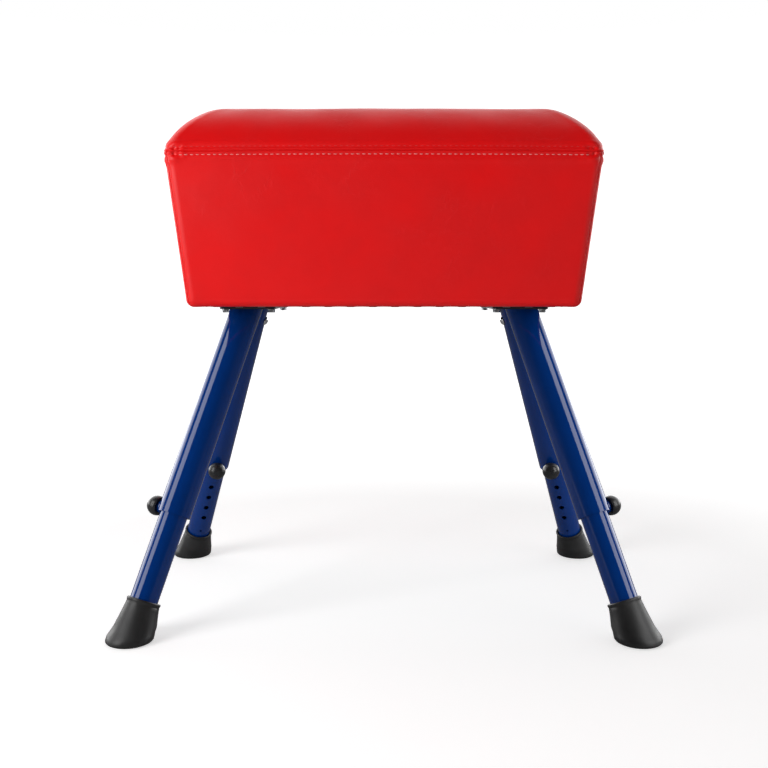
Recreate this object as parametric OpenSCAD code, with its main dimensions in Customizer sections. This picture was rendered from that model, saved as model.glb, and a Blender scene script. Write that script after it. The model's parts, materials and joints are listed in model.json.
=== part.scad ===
// Vaulting buck: an upholstered box body on four splayed telescopic legs, each locked by a
// spring-loaded pull knob. Millimetres, +Z up, X along the body, Y across it, and the origin
// on the floor under the middle of the body. The front is towards -Y.

/* [Body] */
// Length of the body at the crown seam
seam_l = 609; // [520:1:740]
// Width of the body at the crown seam
seam_w = 350; // [290:5:440]
// Length of the body at its underside
base_l = 562; // [500:1:690]
// Width of the body at its underside
base_w = 310; // [250:1:400]
// Height of the body's underside above the floor
body_z = 465; // [380:1:560]
// Height of the side walls, from the underside to the crown seam
side_h = 215; // [160:0.5:280]
// Height of the padded crown above its seam
crown_h = 75; // [50:1:95]
// How far in from the seam the crown's round edge reaches
crown_edge = 61; // [30:1:80]
// How much lower the crown is at its round edge than in the middle
crown_fall = 8; // [0:0.5:12]
// Shape of the crown's round edge: 1 is a straight slope and 2 is a quarter of an ellipse
crown_power = 1.3; // [1.1:0.05:2.2]
// Radius of the body's upright corners
corner_r = 16; // [12:1:40]
// How much that radius grows for each millimetre further in on the crown
corner_growth = 0.2; // [0:0.05:1]
// Radius of the rolled lower edge of the sides
roll_r = 10; // [4:1:12]

/* [Upholstery and carcass] */
// Thickness of the synthetic leather
cover_t = 2; // [1:0.25:4]
// Thickness of the foam band round the sides
side_foam_t = 14; // [8:1:20]
// Thickness of the plywood walls
wall_ply = 12; // [9:1:18]
// Thickness of the plywood base and top boards
deck_ply = 18; // [12:1:24]
// Thickness of the cloth that closes the underside
cloth_t = 1.5; // [0.5:0.25:3]

/* [Leg brackets] */
// Length of a bracket plate along the body
plate_l = 83; // [74:1:110]
// Width of a bracket plate across the body
plate_w = 190; // [170:1:230]
// Thickness of a bracket plate
plate_t = 4; // [3:0.5:8]
// Distance from the middle of the body to the middle of a bracket plate
plate_x = 202.5; // [190:0.5:225]
// Distance between a plate's bolts along the body
bolt_pitch_x = 69; // [62:1:90]
// Distance between a plate's bolts across the body
bolt_pitch_y = 164; // [156:1:200]
// Diameter of the bracket bolts
bolt_d = 6; // [5:1:8]
// Length of a spigot that holds a leg, along the leg
spigot_l = 62; // [50:1:80]
// Wall of a spigot
spigot_wall = 3; // [2:0.5:5]

/* [Legs] */
// Distance of a leg's axis from the middle at the underside, along the body
leg_top_x = 210.5; // [190:0.5:240]
// Distance of a leg's axis from the middle at the underside, across the body
leg_top_y = 36; // [32:0.5:60]
// Distance of a leg's axis from the middle at the floor, along the body
leg_foot_x = 356; // [290:1:420]
// Distance of a leg's axis from the middle at the floor, across the body
leg_foot_y = 215; // [180:1:260]
// Diameter of the outer tube
outer_d = 48; // [44:1:50]
// Wall of the outer tube
outer_wall = 2.5; // [2:0.25:3.5]
// Diameter of the inner tube
inner_d = 40; // [33:0.1:40]
// Wall of the inner tube
inner_wall = 2; // [1.5:0.25:3]
// Distance from the floor to a front outer tube's lower end, along the leg
collar_s = 184; // [170:0.5:220]
// Length of the plastic guide bush in the outer tube's mouth
bush_l = 38; // [25:1:60]
// Height of the guide plug's head on top of the inner tube
plug_head = 8; // [5:1:15]

/* [Height adjustment] */
// Distance between the holes in the inner tube, along the leg
hole_pitch = 22.5; // [18:0.5:25]
// Number of settings shorter than the one shown
steps_in = 4; // [2:1:4]
// Number of settings longer than the one shown
steps_out = 2; // [1:1:3]
// Holes by which the rear outer tubes end higher than the front ones
rear_holes_up = 1; // [0:1:1]
// Distance from the outer tube's lower end up to the plunger
pin_rise = 7; // [6:0.5:15]
// Diameter of the plunger pin
pin_d = 8; // [6:0.5:9]
// How far the plunger pulls out
pin_travel = 6; // [5.5:0.25:7]
// Diameter of the pull knob
knob_d = 29.5; // [25:0.5:36]
// Diameter of the plunger sleeve
sleeve_d = 14; // [13.5:0.5:16]
// Turn of a front leg's knob about the leg, from straight outwards
front_knob_turn = 75; // [50:1:100]
// Turn of a rear leg's knob about the leg, from straight outwards
rear_knob_turn = 156.5; // [120:0.5:170]
// Turn of the screw at the top of a leg, from straight outwards
screw_turn = 225; // [200:1:240]

/* [Rubber feet] */
// Diameter of a foot at its sole
sole_d = 67; // [58:1:80]
// Wall of the foot round the tube at its rim
foot_wall = 4; // [3:0.5:7]
// Distance from the floor to the foot's rim, along the leg
foot_rim_s = 58.5; // [48:0.5:66]
// Distance from the floor to the inner tube's lower end, along the leg
tube_end_s = 16; // [13:0.5:24]

/* [Hidden] */
// name, side (-1 left, 1 right), end (-1 front, 1 rear)
LEGS = [["front_left", -1, -1], ["front_right", 1, -1], ["rear_left", -1, 1], ["rear_right", 1, 1]];
BODY_NODES = [
    "base_board", "top_board", "front_board", "rear_board", "left_end_board", "right_end_board",
    "cross_rib", "crown_foam", "side_foam", "crown_cover", "front_cover", "rear_cover",
    "left_cover", "right_cover", "bottom_cloth", "left_bracket", "right_bracket",
    "bracket_bolts", "bracket_washers", "tee_nuts", "leg_screws"
];
LEG_NODES = [
    "outer_tube", "guide_bush", "inner_tube", "guide_plug", "foot",
    "plunger_sleeve", "plunger_pin", "plunger_knob", "plunger_spring"
];

red = [0.85, 0.1, 0.12];
blue = [0.02, 0.2, 0.5];
black = [0.1, 0.1, 0.1];
steel = [0.75, 0.76, 0.78];
dark_steel = [0.12, 0.13, 0.16];
ply = [0.78, 0.62, 0.42];
foam = [0.93, 0.88, 0.7];
nylon = [0.85, 0.85, 0.82];

$fn = 64;
corner_steps = 6;   // points in a quarter of a padded corner, less one
foot_sides = 40;
coil_sides = 6;
eps = 0.01;

// Fits
slide_gap = 0.3;    // between pieces that slide past each other
press_gap = 0.05;   // between a pressed or screwed piece and its seat
bolt_gap = 0.25;    // round a bolt in its clearance hole
cut = 60;           // overlength of a cutting tool

// Heights in the body
seam_z = body_z + side_h;
cloth_z = body_z;
base_z = cloth_z + cloth_t;
wall_z = base_z + deck_ply;
top_z = seam_z - deck_ply;
board_inset = cover_t + side_foam_t;
inner_inset = board_inset + wall_ply;

// A leg's own frame: origin where its axis meets the floor, z up the leg, x outwards
lean_x = leg_foot_x - leg_top_x;
lean_y = leg_foot_y - leg_top_y;
lean = sqrt(lean_x * lean_x + lean_y * lean_y);
leg_l = sqrt(lean * lean + body_z * body_z);
tilt = atan2(lean, body_z);

outer_r = outer_d / 2;
outer_bore = outer_r - outer_wall;
inner_r = inner_d / 2;
inner_bore = inner_r - inner_wall;
spigot_r = outer_bore - press_gap;

// Where a leg's outer tube ends, and where its plunger is
function collar_at(leg) = collar_s + (leg[2] > 0 ? rear_holes_up * hole_pitch : 0);
function pin_at(leg) = collar_at(leg) + pin_rise;

// Fasteners
screw_s = leg_l - 20;
screw_r = 4;
screw_head_r = 7;
screw_head_h = 4.2;
screw_socket_r = 2.9;
screw_socket_l = 2.4;
washer_t = 1.2;
bolt_head_h = 4;
tee_barrel_r = bolt_d / 2 + 1;
tee_barrel_l = 9;
tee_flange_r = 9;
tee_flange_t = 1.5;

// The plunger, measured outwards from the leg's axis
pin_r = pin_d / 2;
sleeve_r = sleeve_d / 2;
sleeve_in = outer_bore + slide_gap;
guide_l = 3.2;
shoulder_r = pin_r + 1.3;
shoulder_in = sleeve_in + guide_l + 0.2;
shoulder_t = 2;
chamber_r = shoulder_r + slide_gap;
spring_in = shoulder_in + shoulder_t;
spring_l = pin_travel + 2.8;
sleeve_end = spring_in + spring_l;
sleeve_cap = 2;
sleeve_out = sleeve_end + sleeve_cap;
shank_r = 2.5;
boss_r = sleeve_r + 2.5;
boss_out = outer_r + 2.5;
tip_in = inner_r + 0.9 - pin_travel;
knob_r = knob_d / 2;
knob_in = boss_out + 1;
knob_out = sleeve_out + 10.25;
knob_middle = knob_out - knob_r;
knob_hollow = sleeve_out + 1.5;
shank_out = knob_out - 2;
wire_r = 0.4;
spring_r = (shank_r + chamber_r) / 2;
spring_turns = 3;

// The inner tube's holes, the same in all four, counted from the front one that is engaged
first_hole_s = collar_s + pin_rise;
hole_r = pin_r + slide_gap;
drain_r = 2;
drain_drop = 30;
inner_top_s = leg_l - spigot_l - steps_in * hole_pitch - plug_head - 6;

sole_r = sole_d / 2;
sole_t = 1;
sole_bevel = 4.5;
sole_edge = 10;
foot_rim_r = inner_r + foot_wall;

// --- Helpers -------------------------------------------------------------------------------

// Half length and half width of the body at height z, less an inset
function half_l(z, inset) = (base_l + (seam_l - base_l) * (z - body_z) / side_h) / 2 - inset;
function half_w(z, inset) = (base_w + (seam_w - base_w) * (z - body_z) / side_h) / 2 - inset;

// A rounded rectangle of half sizes a and b with corner radius r, counter-clockwise at height z
function soft_ring(a, b, r, z) = [
    for (q = [0:3]) for (i = [0:corner_steps])
        let (t = 90 * (q + i / corner_steps), sx = (q == 0 || q == 3) ? 1 : -1, sy = q < 2 ? 1 : -1)
            [sx * (a - r) + r * cos(t), sy * (b - r) + r * sin(t), z]
];

// The body's outline at height z below the seam, less an inset
function wall_ring(z, inset) =
    soft_ring(half_l(z, inset), half_w(z, inset), max(corner_r - inset, 2), z);

// Rings of the rolled lower edge, of radius r, less an inset of the whole form
function roll_rings(r) = [
    for (a = [0:15:90]) wall_ring(body_z + roll_r - r * cos(a), roll_r - r * sin(a))
];

// Height of the crown's round edge above the seam, as t goes from the seam to the flat
function edge_rise(t) = pow(1 - pow(1 - t, crown_power), 1 / crown_power);

// The crown's rings from the seam to the middle, less an inset
function crown_rings(inset) = let (
    edge = [for (t = [0, 0.04, 0.12, 0.25, 0.42, 0.62, 0.82, 1])
        [crown_edge * t, (crown_h - crown_fall) * edge_rise(t)]],
    flat = [for (u = [0.35, 0.7, 0.96])
        [crown_edge + (seam_w / 2 - crown_edge) * u, crown_h - crown_fall * pow(1 - u, 2)]]
) [
    for (p = concat(edge, flat))
        let (side = max(p[0], inset), r = max(corner_r - inset, 2) + side * corner_growth)
            soft_ring(
                seam_l / 2 - side,
                seam_w / 2 - side,
                min(r, seam_w / 2 - side - eps),
                seam_z + p[1] - (p[0] > inset ? inset : 0)
            )
];

// Rings that rise on the way up, for a loft
function rising(rings) = [
    for (k = [0:len(rings) - 1]) if (k == 0 || rings[k][0][2] > rings[0][0][2] + eps) rings[k]
];

// A closed solid through a list of rings, each with the same number of points
module loft(rings) {
    n = len(rings[0]);
    last = len(rings) - 1;
    polyhedron(
        [for (ring = rings) each ring],
        concat(
            [[for (i = [0:n - 1]) i]],
            [for (k = [0:last - 1]) for (i = [0:n - 1])
                let (a = k * n + i, b = k * n + (i + 1) % n) each [[a, a + n, b + n], [a, b + n, b]]],
            [[for (i = [n - 1:-1:0]) last * n + i]]
        )
    );
}

// The body's tapered form with sharp corners between two heights
module tapered(inset_x, inset_y, z0, z1) {
    loft([for (z = [z0, z1]) [
        for (c = [[1, 1], [-1, 1], [-1, -1], [1, -1]])
            [c[0] * half_l(z, inset_x), c[1] * half_w(z, inset_y), z]
    ]]);
}

// A flat plate with round corners, standing on z = 0
module round_plate(l, w, t, r) {
    translate([-l / 2 + r, -w / 2, 0]) cube([l - 2 * r, w, t]);
    translate([-l / 2, -w / 2 + r, 0]) cube([l, w - 2 * r, t]);
    for (x = [-1, 1], y = [-1, 1])
        translate([x * (l / 2 - r), y * (w / 2 - r), 0]) cylinder(h = t, r = r);
}

module bolt_places() {
    for (side = [-1, 1], x = [-1, 1], y = [-1, 1])
        translate([side * plate_x + x * bolt_pitch_x / 2, y * bolt_pitch_y / 2, 0]) children();
}

// Upright frame at a leg's foot, x outwards
module foot_frame(leg) {
    translate([leg[1] * leg_foot_x, leg[2] * leg_foot_y, 0])
        rotate([0, 0, atan2(leg[2] * lean_y, leg[1] * lean_x)]) children();
}

// A leg's own frame, z up its axis
module leg_frame(leg) {
    foot_frame(leg) rotate([0, -tilt, 0]) children();
}

// Frame at distance s up a leg, turned about it, z outwards from its axis
module spoke(s, turn) {
    translate([0, 0, s]) rotate([0, 0, turn]) rotate([0, 90, 0]) children();
}

// Legs on the right are mirror images, so their turns run the other way
function knob_turn(leg) = leg[2] < 0 ? leg[1] * front_knob_turn : -leg[1] * rear_knob_turn;
function top_screw_turn(leg) = -leg[1] * screw_turn;

// --- Carcass -------------------------------------------------------------------------------

module base_board() {
    color(ply) difference() {
        translate([0, 0, base_z]) round_plate(
            2 * half_l(base_z, board_inset), 2 * half_w(base_z, board_inset), deck_ply, 6);
        bolt_places() translate([0, 0, base_z - 1])
            cylinder(h = deck_ply + 2, r = tee_barrel_r + press_gap);
    }
}

module top_board() {
    color(ply) translate([0, 0, top_z]) round_plate(
        2 * half_l(top_z, board_inset), 2 * half_w(top_z, board_inset), deck_ply, 6);
}

// side is -1 for the front board and 1 for the rear one
module long_board(side) {
    color(ply) difference() {
        tapered(board_inset, board_inset, wall_z, top_z);
        tapered(-cut, inner_inset, wall_z - 1, top_z + 1);
        translate([0, -side * seam_w, 0]) translate([-seam_l, -seam_w, 0])
            cube([2 * seam_l, 2 * seam_w, seam_z]);
    }
}

// side is -1 for the left board and 1 for the right one
module end_board(side) {
    color(ply) difference() {
        tapered(board_inset, inner_inset, wall_z, top_z);
        tapered(inner_inset, -cut, wall_z - 1, top_z + 1);
        translate([-side * seam_l, 0, 0]) translate([-seam_l, -seam_w, 0])
            cube([2 * seam_l, 2 * seam_w, seam_z]);
    }
}

module cross_rib() {
    color(ply) intersection() {
        tapered(board_inset, inner_inset, wall_z, top_z);
        translate([-wall_ply / 2, -seam_w, 0]) cube([wall_ply, 2 * seam_w, seam_z]);
    }
}

module tee_nuts() {
    color(steel) bolt_places() difference() {
        union() {
            translate([0, 0, wall_z]) cylinder(h = tee_flange_t, r = tee_flange_r);
            translate([0, 0, wall_z - tee_barrel_l]) cylinder(h = tee_barrel_l + eps, r = tee_barrel_r);
        }
        translate([0, 0, wall_z - tee_barrel_l - 1])
            cylinder(h = tee_barrel_l + tee_flange_t + 2, r = bolt_d / 2 + press_gap);
    }
}

// --- Upholstery ----------------------------------------------------------------------------

module crown_foam() {
    color(foam) loft(rising(crown_rings(cover_t)));
}

module side_foam() {
    color(foam) difference() {
        loft(concat(roll_rings(roll_r - cover_t), [wall_ring(seam_z, cover_t)]));
        tapered(board_inset - eps, board_inset - eps, base_z - 1, seam_z + 1);
    }
}

module crown_cover() {
    color(red) difference() {
        loft(crown_rings(0));
        loft(concat(
            [soft_ring(seam_l / 2 - cover_t, seam_w / 2 - cover_t, corner_r - cover_t, seam_z - 1)],
            rising(crown_rings(cover_t))
        ));
    }
}

// The band of leather round the sides, rolled under the foam as far as the base board
module side_band() {
    difference() {
        loft(concat(roll_rings(roll_r), [wall_ring(seam_z, 0)]));
        loft(concat(
            [for (z = [body_z - 1, body_z + cover_t - eps]) wall_ring(z, board_inset)],
            roll_rings(roll_r - cover_t),
            [wall_ring(seam_z + 1, cover_t)]
        ));
    }
}

// The part of the band that faces front or rear, between the corner seams
module long_panel(side) {
    apex = (seam_l - seam_w) / 2;
    color(red) intersection() {
        side_band();
        linear_extrude(height = seam_z + 1) polygon([
            [-apex, 0],
            [apex, 0],
            [apex + seam_w, side * seam_w],
            [-apex - seam_w, side * seam_w]
        ]);
    }
}

// The part of the band that faces left or right
module end_panel(side) {
    apex = (seam_l - seam_w) / 2;
    color(red) intersection() {
        side_band();
        linear_extrude(height = seam_z + 1) polygon([
            [side * apex, 0],
            [side * (apex + seam_w), seam_w],
            [side * (apex + seam_w), -seam_w]
        ]);
    }
}

module bottom_cloth() {
    color(black) difference() {
        translate([0, 0, cloth_z])
            round_plate(base_l - 2 * board_inset - 1, base_w - 2 * board_inset - 1, cloth_t, 2);
        bolt_places() translate([0, 0, cloth_z - 1]) cylinder(h = cloth_t + 2, r = bolt_d / 2 + bolt_gap);
    }
}

// --- Brackets and their fasteners ----------------------------------------------------------

// A steel plate with two splayed spigots welded under it
module bracket(side) {
    color(dark_steel) difference() {
        union() {
            translate([side * plate_x, 0, body_z - plate_t]) round_plate(plate_l, plate_w, plate_t, 8);
            for (leg = LEGS) if (leg[1] == side) difference() {
                leg_frame(leg) translate([0, 0, leg_l - spigot_l])
                    cylinder(h = spigot_l + cut, r = spigot_r);
                leg_frame(leg) translate([0, 0, leg_l - spigot_l - 1])
                    cylinder(h = spigot_l + 2 * cut, r = spigot_r - spigot_wall);
                translate([-seam_l, -seam_w, body_z - plate_t + eps])
                    cube([2 * seam_l, 2 * seam_w, seam_z]);
            }
        }
        for (leg = LEGS) if (leg[1] == side)
            leg_frame(leg) spoke(screw_s, top_screw_turn(leg))
                cylinder(h = outer_r, r = screw_r + press_gap);
        bolt_places() translate([0, 0, body_z - plate_t - 1])
            cylinder(h = plate_t + 2, r = bolt_d / 2 + bolt_gap);
    }
}

module bracket_washers() {
    color(steel) bolt_places() translate([0, 0, body_z - plate_t - washer_t]) difference() {
        cylinder(h = washer_t, r = bolt_d);
        translate([0, 0, -1]) cylinder(h = washer_t + 2, r = bolt_d / 2 + bolt_gap);
    }
}

module bracket_bolts() {
    head_z = body_z - plate_t - washer_t;
    color(steel) bolt_places() {
        translate([0, 0, head_z - bolt_head_h]) cylinder(h = bolt_head_h, r = bolt_d * 0.96, $fn = 6);
        translate([0, 0, head_z - eps]) cylinder(h = wall_z + tee_flange_t - head_z, r = bolt_d / 2);
    }
}

// Button-head screws that hold the legs on the spigots
module leg_screws() {
    dome = [for (a = [0:10:70]) [screw_head_r * cos(a), screw_head_h * sin(a) / sin(70)]];
    shank_in = spigot_r - spigot_wall - 2;
    color(steel) for (leg = LEGS) leg_frame(leg) spoke(screw_s, top_screw_turn(leg)) difference() {
        union() {
            translate([0, 0, shank_in]) cylinder(h = outer_r - shank_in + eps, r = screw_r);
            translate([0, 0, outer_r]) rotate_extrude() polygon(concat([[0, 0]], dome, [[0, screw_head_h]]));
        }
        translate([0, 0, outer_r + screw_head_h - screw_socket_l])
            cylinder(h = screw_socket_l + 1, r = screw_socket_r, $fn = 6);
    }
}

// --- Legs ----------------------------------------------------------------------------------

module outer_tube(leg) {
    color(blue) difference() {
        union() {
            leg_frame(leg) translate([0, 0, collar_at(leg)]) cylinder(h = leg_l, r = outer_r);
            leg_frame(leg) spoke(pin_at(leg), knob_turn(leg)) translate([0, 0, outer_bore + 1])
                cylinder(h = boss_out - outer_bore - 1, r = boss_r);
        }
        leg_frame(leg) translate([0, 0, collar_s - cut]) cylinder(h = leg_l + 2 * cut, r = outer_bore);
        leg_frame(leg) spoke(pin_at(leg), knob_turn(leg))
            cylinder(h = boss_out + 1, r = sleeve_r + press_gap);
        leg_frame(leg) spoke(screw_s, top_screw_turn(leg))
            cylinder(h = outer_r + 1, r = screw_r + press_gap);
        translate([-2 * seam_l, -2 * seam_w, body_z - plate_t - 0.5])
            cube([4 * seam_l, 4 * seam_w, 2 * leg_l]);
    }
}

module guide_bush(leg) {
    color(nylon) leg_frame(leg) difference() {
        translate([0, 0, collar_at(leg) + 1]) cylinder(h = bush_l, r = outer_bore - press_gap);
        translate([0, 0, collar_at(leg)]) cylinder(h = bush_l + 2, r = inner_r + slide_gap);
        spoke(pin_at(leg), knob_turn(leg)) cylinder(h = outer_r, r = hole_r + 0.2);
    }
}

module inner_tube(leg) {
    color(blue) leg_frame(leg) difference() {
        translate([0, 0, tube_end_s]) cylinder(h = inner_top_s - tube_end_s, r = inner_r);
        translate([0, 0, tube_end_s - 1]) cylinder(h = inner_top_s - tube_end_s + 2, r = inner_bore);
        for (k = [-steps_in:steps_out + rear_holes_up])
            spoke(first_hole_s + k * hole_pitch, knob_turn(leg)) cylinder(h = outer_r, r = hole_r);
        spoke(first_hole_s - steps_in * hole_pitch - drain_drop, knob_turn(leg))
            cylinder(h = outer_r, r = drain_r);
    }
}

// The plug closes the inner tube and centres it in the outer one
module guide_plug(leg) {
    stem_l = 15;
    color(nylon) leg_frame(leg) translate([0, 0, inner_top_s]) difference() {
        union() {
            cylinder(h = plug_head, r = outer_bore - slide_gap);
            translate([0, 0, -stem_l]) cylinder(h = stem_l + eps, r = inner_bore - press_gap);
        }
        translate([0, 0, -stem_l - 1]) cylinder(h = stem_l + plug_head - 1, r = inner_bore - 3);
    }
}

// A ring of the foot round the leg's axis at height z, leaning and sized by w, from sole to rim
function foot_ring(z, r, lean_by) = [
    for (i = [0:foot_sides - 1]) let (a = 360 * i / foot_sides)
        [r * cos(a) * cos(lean_by) - z * tan(tilt), r * sin(a), z + r * cos(a) * sin(lean_by)]
];

// Rubber foot: a bell that turns from a flat sole to a rim square to the leaning tube
module foot(leg) {
    rim_z = foot_rim_s * cos(tilt);
    flare = [for (w = [0, 0.14, 0.28, 0.42, 0.56, 0.7, 0.85, 1]) foot_ring(
        sole_edge + (rim_z - sole_edge) * w,
        foot_rim_r + (sole_r - foot_rim_r) * pow(1 - w, 2.2),
        tilt * w
    )];
    color(black) difference() {
        union() {
            foot_frame(leg) loft(concat(
                [foot_ring(sole_t, sole_r - sole_bevel, 0), foot_ring(sole_t + sole_bevel, sole_r, 0)],
                flare
            ));
            foot_frame(leg) translate([-sole_t * tan(tilt), 0, 0])
                cylinder(h = sole_t + 2, r = sole_r - 2 * sole_bevel);
        }
        leg_frame(leg) translate([0, 0, tube_end_s]) cylinder(h = leg_l, r = inner_r);
    }
}

// --- Plungers ------------------------------------------------------------------------------

module plunger_sleeve(leg) {
    color(black) leg_frame(leg) spoke(pin_at(leg), knob_turn(leg)) difference() {
        translate([0, 0, sleeve_in]) cylinder(h = sleeve_out - sleeve_in, r = sleeve_r);
        cylinder(h = sleeve_out, r = pin_r + press_gap);
        translate([0, 0, sleeve_in + guide_l])
            cylinder(h = sleeve_end - sleeve_in - guide_l, r = chamber_r);
        cylinder(h = sleeve_out + 1, r = shank_r + slide_gap);
    }
}

module plunger_pin(leg) {
    color(steel) leg_frame(leg) spoke(pin_at(leg), knob_turn(leg)) {
        translate([0, 0, tip_in]) cylinder(h = 1.2, r1 = pin_r - 1.2, r2 = pin_r);
        translate([0, 0, tip_in + 1.2]) cylinder(h = shoulder_in - tip_in - 1.2, r = pin_r);
        translate([0, 0, shoulder_in]) cylinder(h = shoulder_t, r = shoulder_r);
        translate([0, 0, shoulder_in]) cylinder(h = shank_out - shoulder_in, r = shank_r);
    }
}

// Ball knob with a flat back, hollow so that it clears the sleeve
module plunger_knob(leg) {
    back = asin((knob_middle - knob_in) / knob_r);
    ball = [for (i = [0:12]) let (a = (90 + back) * i / 12 - back)
        [knob_r * cos(a), knob_middle + knob_r * sin(a)]];
    color(black) leg_frame(leg) spoke(pin_at(leg), knob_turn(leg)) difference() {
        rotate_extrude() polygon(concat([[0, knob_in]], ball));
        translate([0, 0, knob_in - 1])
            cylinder(h = knob_hollow - knob_in + 1, r = sleeve_r + 2 * slide_gap);
        cylinder(h = shank_out, r = shank_r);
    }
}

// Helical spring between the pin's shoulder and the sleeve's cap
module plunger_spring(leg) {
    turn_points = 10;
    steps = spring_turns * turn_points;
    rise = spring_l - 2 * wire_r - 0.2;
    coil = [for (k = [0:steps]) let (a = -360 * k / turn_points) [
        for (i = [0:coil_sides - 1]) let (b = 360 * i / coil_sides, r = spring_r + wire_r * cos(b))
            [r * cos(a), r * sin(a), rise * k / steps + wire_r * sin(b)]
    ]];
    color(steel) leg_frame(leg) spoke(pin_at(leg), knob_turn(leg))
        translate([0, 0, spring_in + wire_r + 0.1]) loft(coil);
}

base_board();
top_board();
long_board(-1);  // front_board
long_board(1);  // rear_board
end_board(-1);  // left_end_board
end_board(1);  // right_end_board
cross_rib();
crown_foam();
side_foam();
crown_cover();
long_panel(-1);  // front_cover
long_panel(1);  // rear_cover
end_panel(-1);  // left_cover
end_panel(1);  // right_cover
bottom_cloth();
bracket(-1);  // left_bracket
bracket(1);  // right_bracket
bracket_bolts();
bracket_washers();
tee_nuts();
leg_screws();
for (leg = LEGS) {
    outer_tube(leg);
    guide_bush(leg);
    inner_tube(leg);
    guide_plug(leg);
    foot(leg);
    plunger_sleeve(leg);
    plunger_pin(leg);
    plunger_knob(leg);
    plunger_spring(leg);
}
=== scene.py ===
# %% [markdown]
# # A vaulting buck, upholstered and painted
# A vaulting buck is a padded box on four splayed legs. A carpenter makes the box from plywood, an
# upholsterer wraps it in foam and red synthetic leather, and a metalworker makes the telescopic legs.
# The rigid pieces come ready from the imported model, which is a fixed frame: nothing in it is moved.
# This script makes what the frame leaves plain: the leather, the foam, the thread, the cloth and the
# rubber, and then a finish for every surface.

# %% Load the imported model
import json
import math

import bpy
import numpy as np
from mathutils import Matrix, Vector, kdtree


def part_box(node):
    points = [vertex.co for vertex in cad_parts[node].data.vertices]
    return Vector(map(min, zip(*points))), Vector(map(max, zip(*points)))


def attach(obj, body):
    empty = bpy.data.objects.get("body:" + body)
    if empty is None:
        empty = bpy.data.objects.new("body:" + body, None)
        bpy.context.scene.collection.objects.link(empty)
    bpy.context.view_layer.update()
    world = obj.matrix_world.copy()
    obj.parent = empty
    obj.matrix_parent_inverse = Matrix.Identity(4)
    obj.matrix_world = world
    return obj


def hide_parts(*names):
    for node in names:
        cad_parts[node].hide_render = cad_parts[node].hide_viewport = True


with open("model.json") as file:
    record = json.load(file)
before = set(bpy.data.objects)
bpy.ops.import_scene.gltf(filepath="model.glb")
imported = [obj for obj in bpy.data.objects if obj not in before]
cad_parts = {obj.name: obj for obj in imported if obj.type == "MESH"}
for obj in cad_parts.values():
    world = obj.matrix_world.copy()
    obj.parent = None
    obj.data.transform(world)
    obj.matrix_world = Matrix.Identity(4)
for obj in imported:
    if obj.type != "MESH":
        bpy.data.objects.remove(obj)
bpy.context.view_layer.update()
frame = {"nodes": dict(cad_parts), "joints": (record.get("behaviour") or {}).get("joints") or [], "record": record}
MM = 0.001
scene = bpy.context.scene

# %% [markdown]
# ## The camera
# The camera stands straight in front of the buck, level with the lower part of the body, and looks
# slightly down. It comes first, so that everything after it can be judged from the same place.

# %% Camera
CAMERA_PLACE = (0, -1.4682, 0.4876)
CAMERA_TURN = math.radians(84.268)
FILM_WIDTH = 36
FOCAL_LENGTH = 43.41
camera_data = bpy.data.cameras.new("camera")
camera_data.lens = FOCAL_LENGTH
camera_data.sensor_width = FILM_WIDTH
camera = bpy.data.objects.new("camera", camera_data)
scene.collection.objects.link(camera)
camera.location = CAMERA_PLACE
camera.rotation_euler = (CAMERA_TURN, 0, 0)
scene.camera = camera
print("camera at", CAMERA_PLACE, "looks", round(90 - math.degrees(CAMERA_TURN), 1), "degrees down")

# %% [markdown]
# ## Node helpers
# A finish is a small network of nodes. Setting each one by hand takes many lines that say little, so
# a few helpers keep every network readable. The first ones add a node, join two sockets, and do sums
# with what a socket carries.

# %% Nodes and sums


def add(tree, kind, **values):
    """A node of that kind, with its properties and its unlinked inputs set by name."""
    node = tree.nodes.new(kind)
    for name, value in values.items():
        if hasattr(node, name):
            setattr(node, name, value)
        else:
            node.inputs[name.replace("_", " ")].default_value = value
    return node


def join(tree, source, target):
    """Links an output socket to an input socket."""
    tree.links.new(source, target)


def combine(tree, operation, first, second):
    """The output of a math node. Either input may be a number or a socket."""
    node = add(tree, "ShaderNodeMath", operation=operation)
    for socket, value in zip(node.inputs, (first, second)):
        if isinstance(value, (int, float)):
            socket.default_value = value
        else:
            join(tree, value, socket)
    return node.outputs[0]


def blend_colours(tree, share, first, second):
    """The colour between two, by a socket that says how much of the second."""
    node = add(tree, "ShaderNodeMix", data_type="RGBA")
    join(tree, share, node.inputs["Factor"])
    for socket, value in ((node.inputs[6], first), (node.inputs[7], second)):
        if isinstance(value, tuple):
            socket.default_value = (*value, 1)
        else:
            join(tree, value, socket)
    return node.outputs[2]


def stretch_range(tree, value, low, high, to_low=0.0, to_high=1.0):
    """The value from low to high, spread from to_low to to_high and held there beyond them."""
    node = add(tree, "ShaderNodeMapRange")
    join(tree, value, node.inputs[0])
    for socket, number in zip(node.inputs[1:5], (low, high, to_low, to_high)):
        socket.default_value = number
    return node.outputs[0]


# %% [markdown]
# ### Starting a finish
# Every material starts the same way, with one Principled shader. Values that are the same all over a
# surface are set on that shader, and what changes over the surface is joined to it afterwards.

# %% Start a finish


def new_finish(name, **values):
    """A material with a Principled shader whose uniform values are set."""
    material = bpy.data.materials.new(name)
    material.use_nodes = True
    tree = material.node_tree
    tree.nodes.clear()
    shader = add(tree, "ShaderNodeBsdfPrincipled", **values)
    output = add(tree, "ShaderNodeOutputMaterial")
    join(tree, shader.outputs[0], output.inputs[0])
    return material, tree, shader


def add_bump(tree, shader, height, distance, strength=1.0):
    """Turns a height into a bump on the shader. The distance is in metres."""
    bump = add(tree, "ShaderNodeBump", Strength=strength, Distance=distance)
    join(tree, height, bump.inputs["Height"])
    join(tree, bump.outputs[0], shader.inputs["Normal"])


def object_place(tree):
    """The place on the piece in metres, which slides with the piece and not with the room."""
    return add(tree, "ShaderNodeTexCoord").outputs["Object"]


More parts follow.
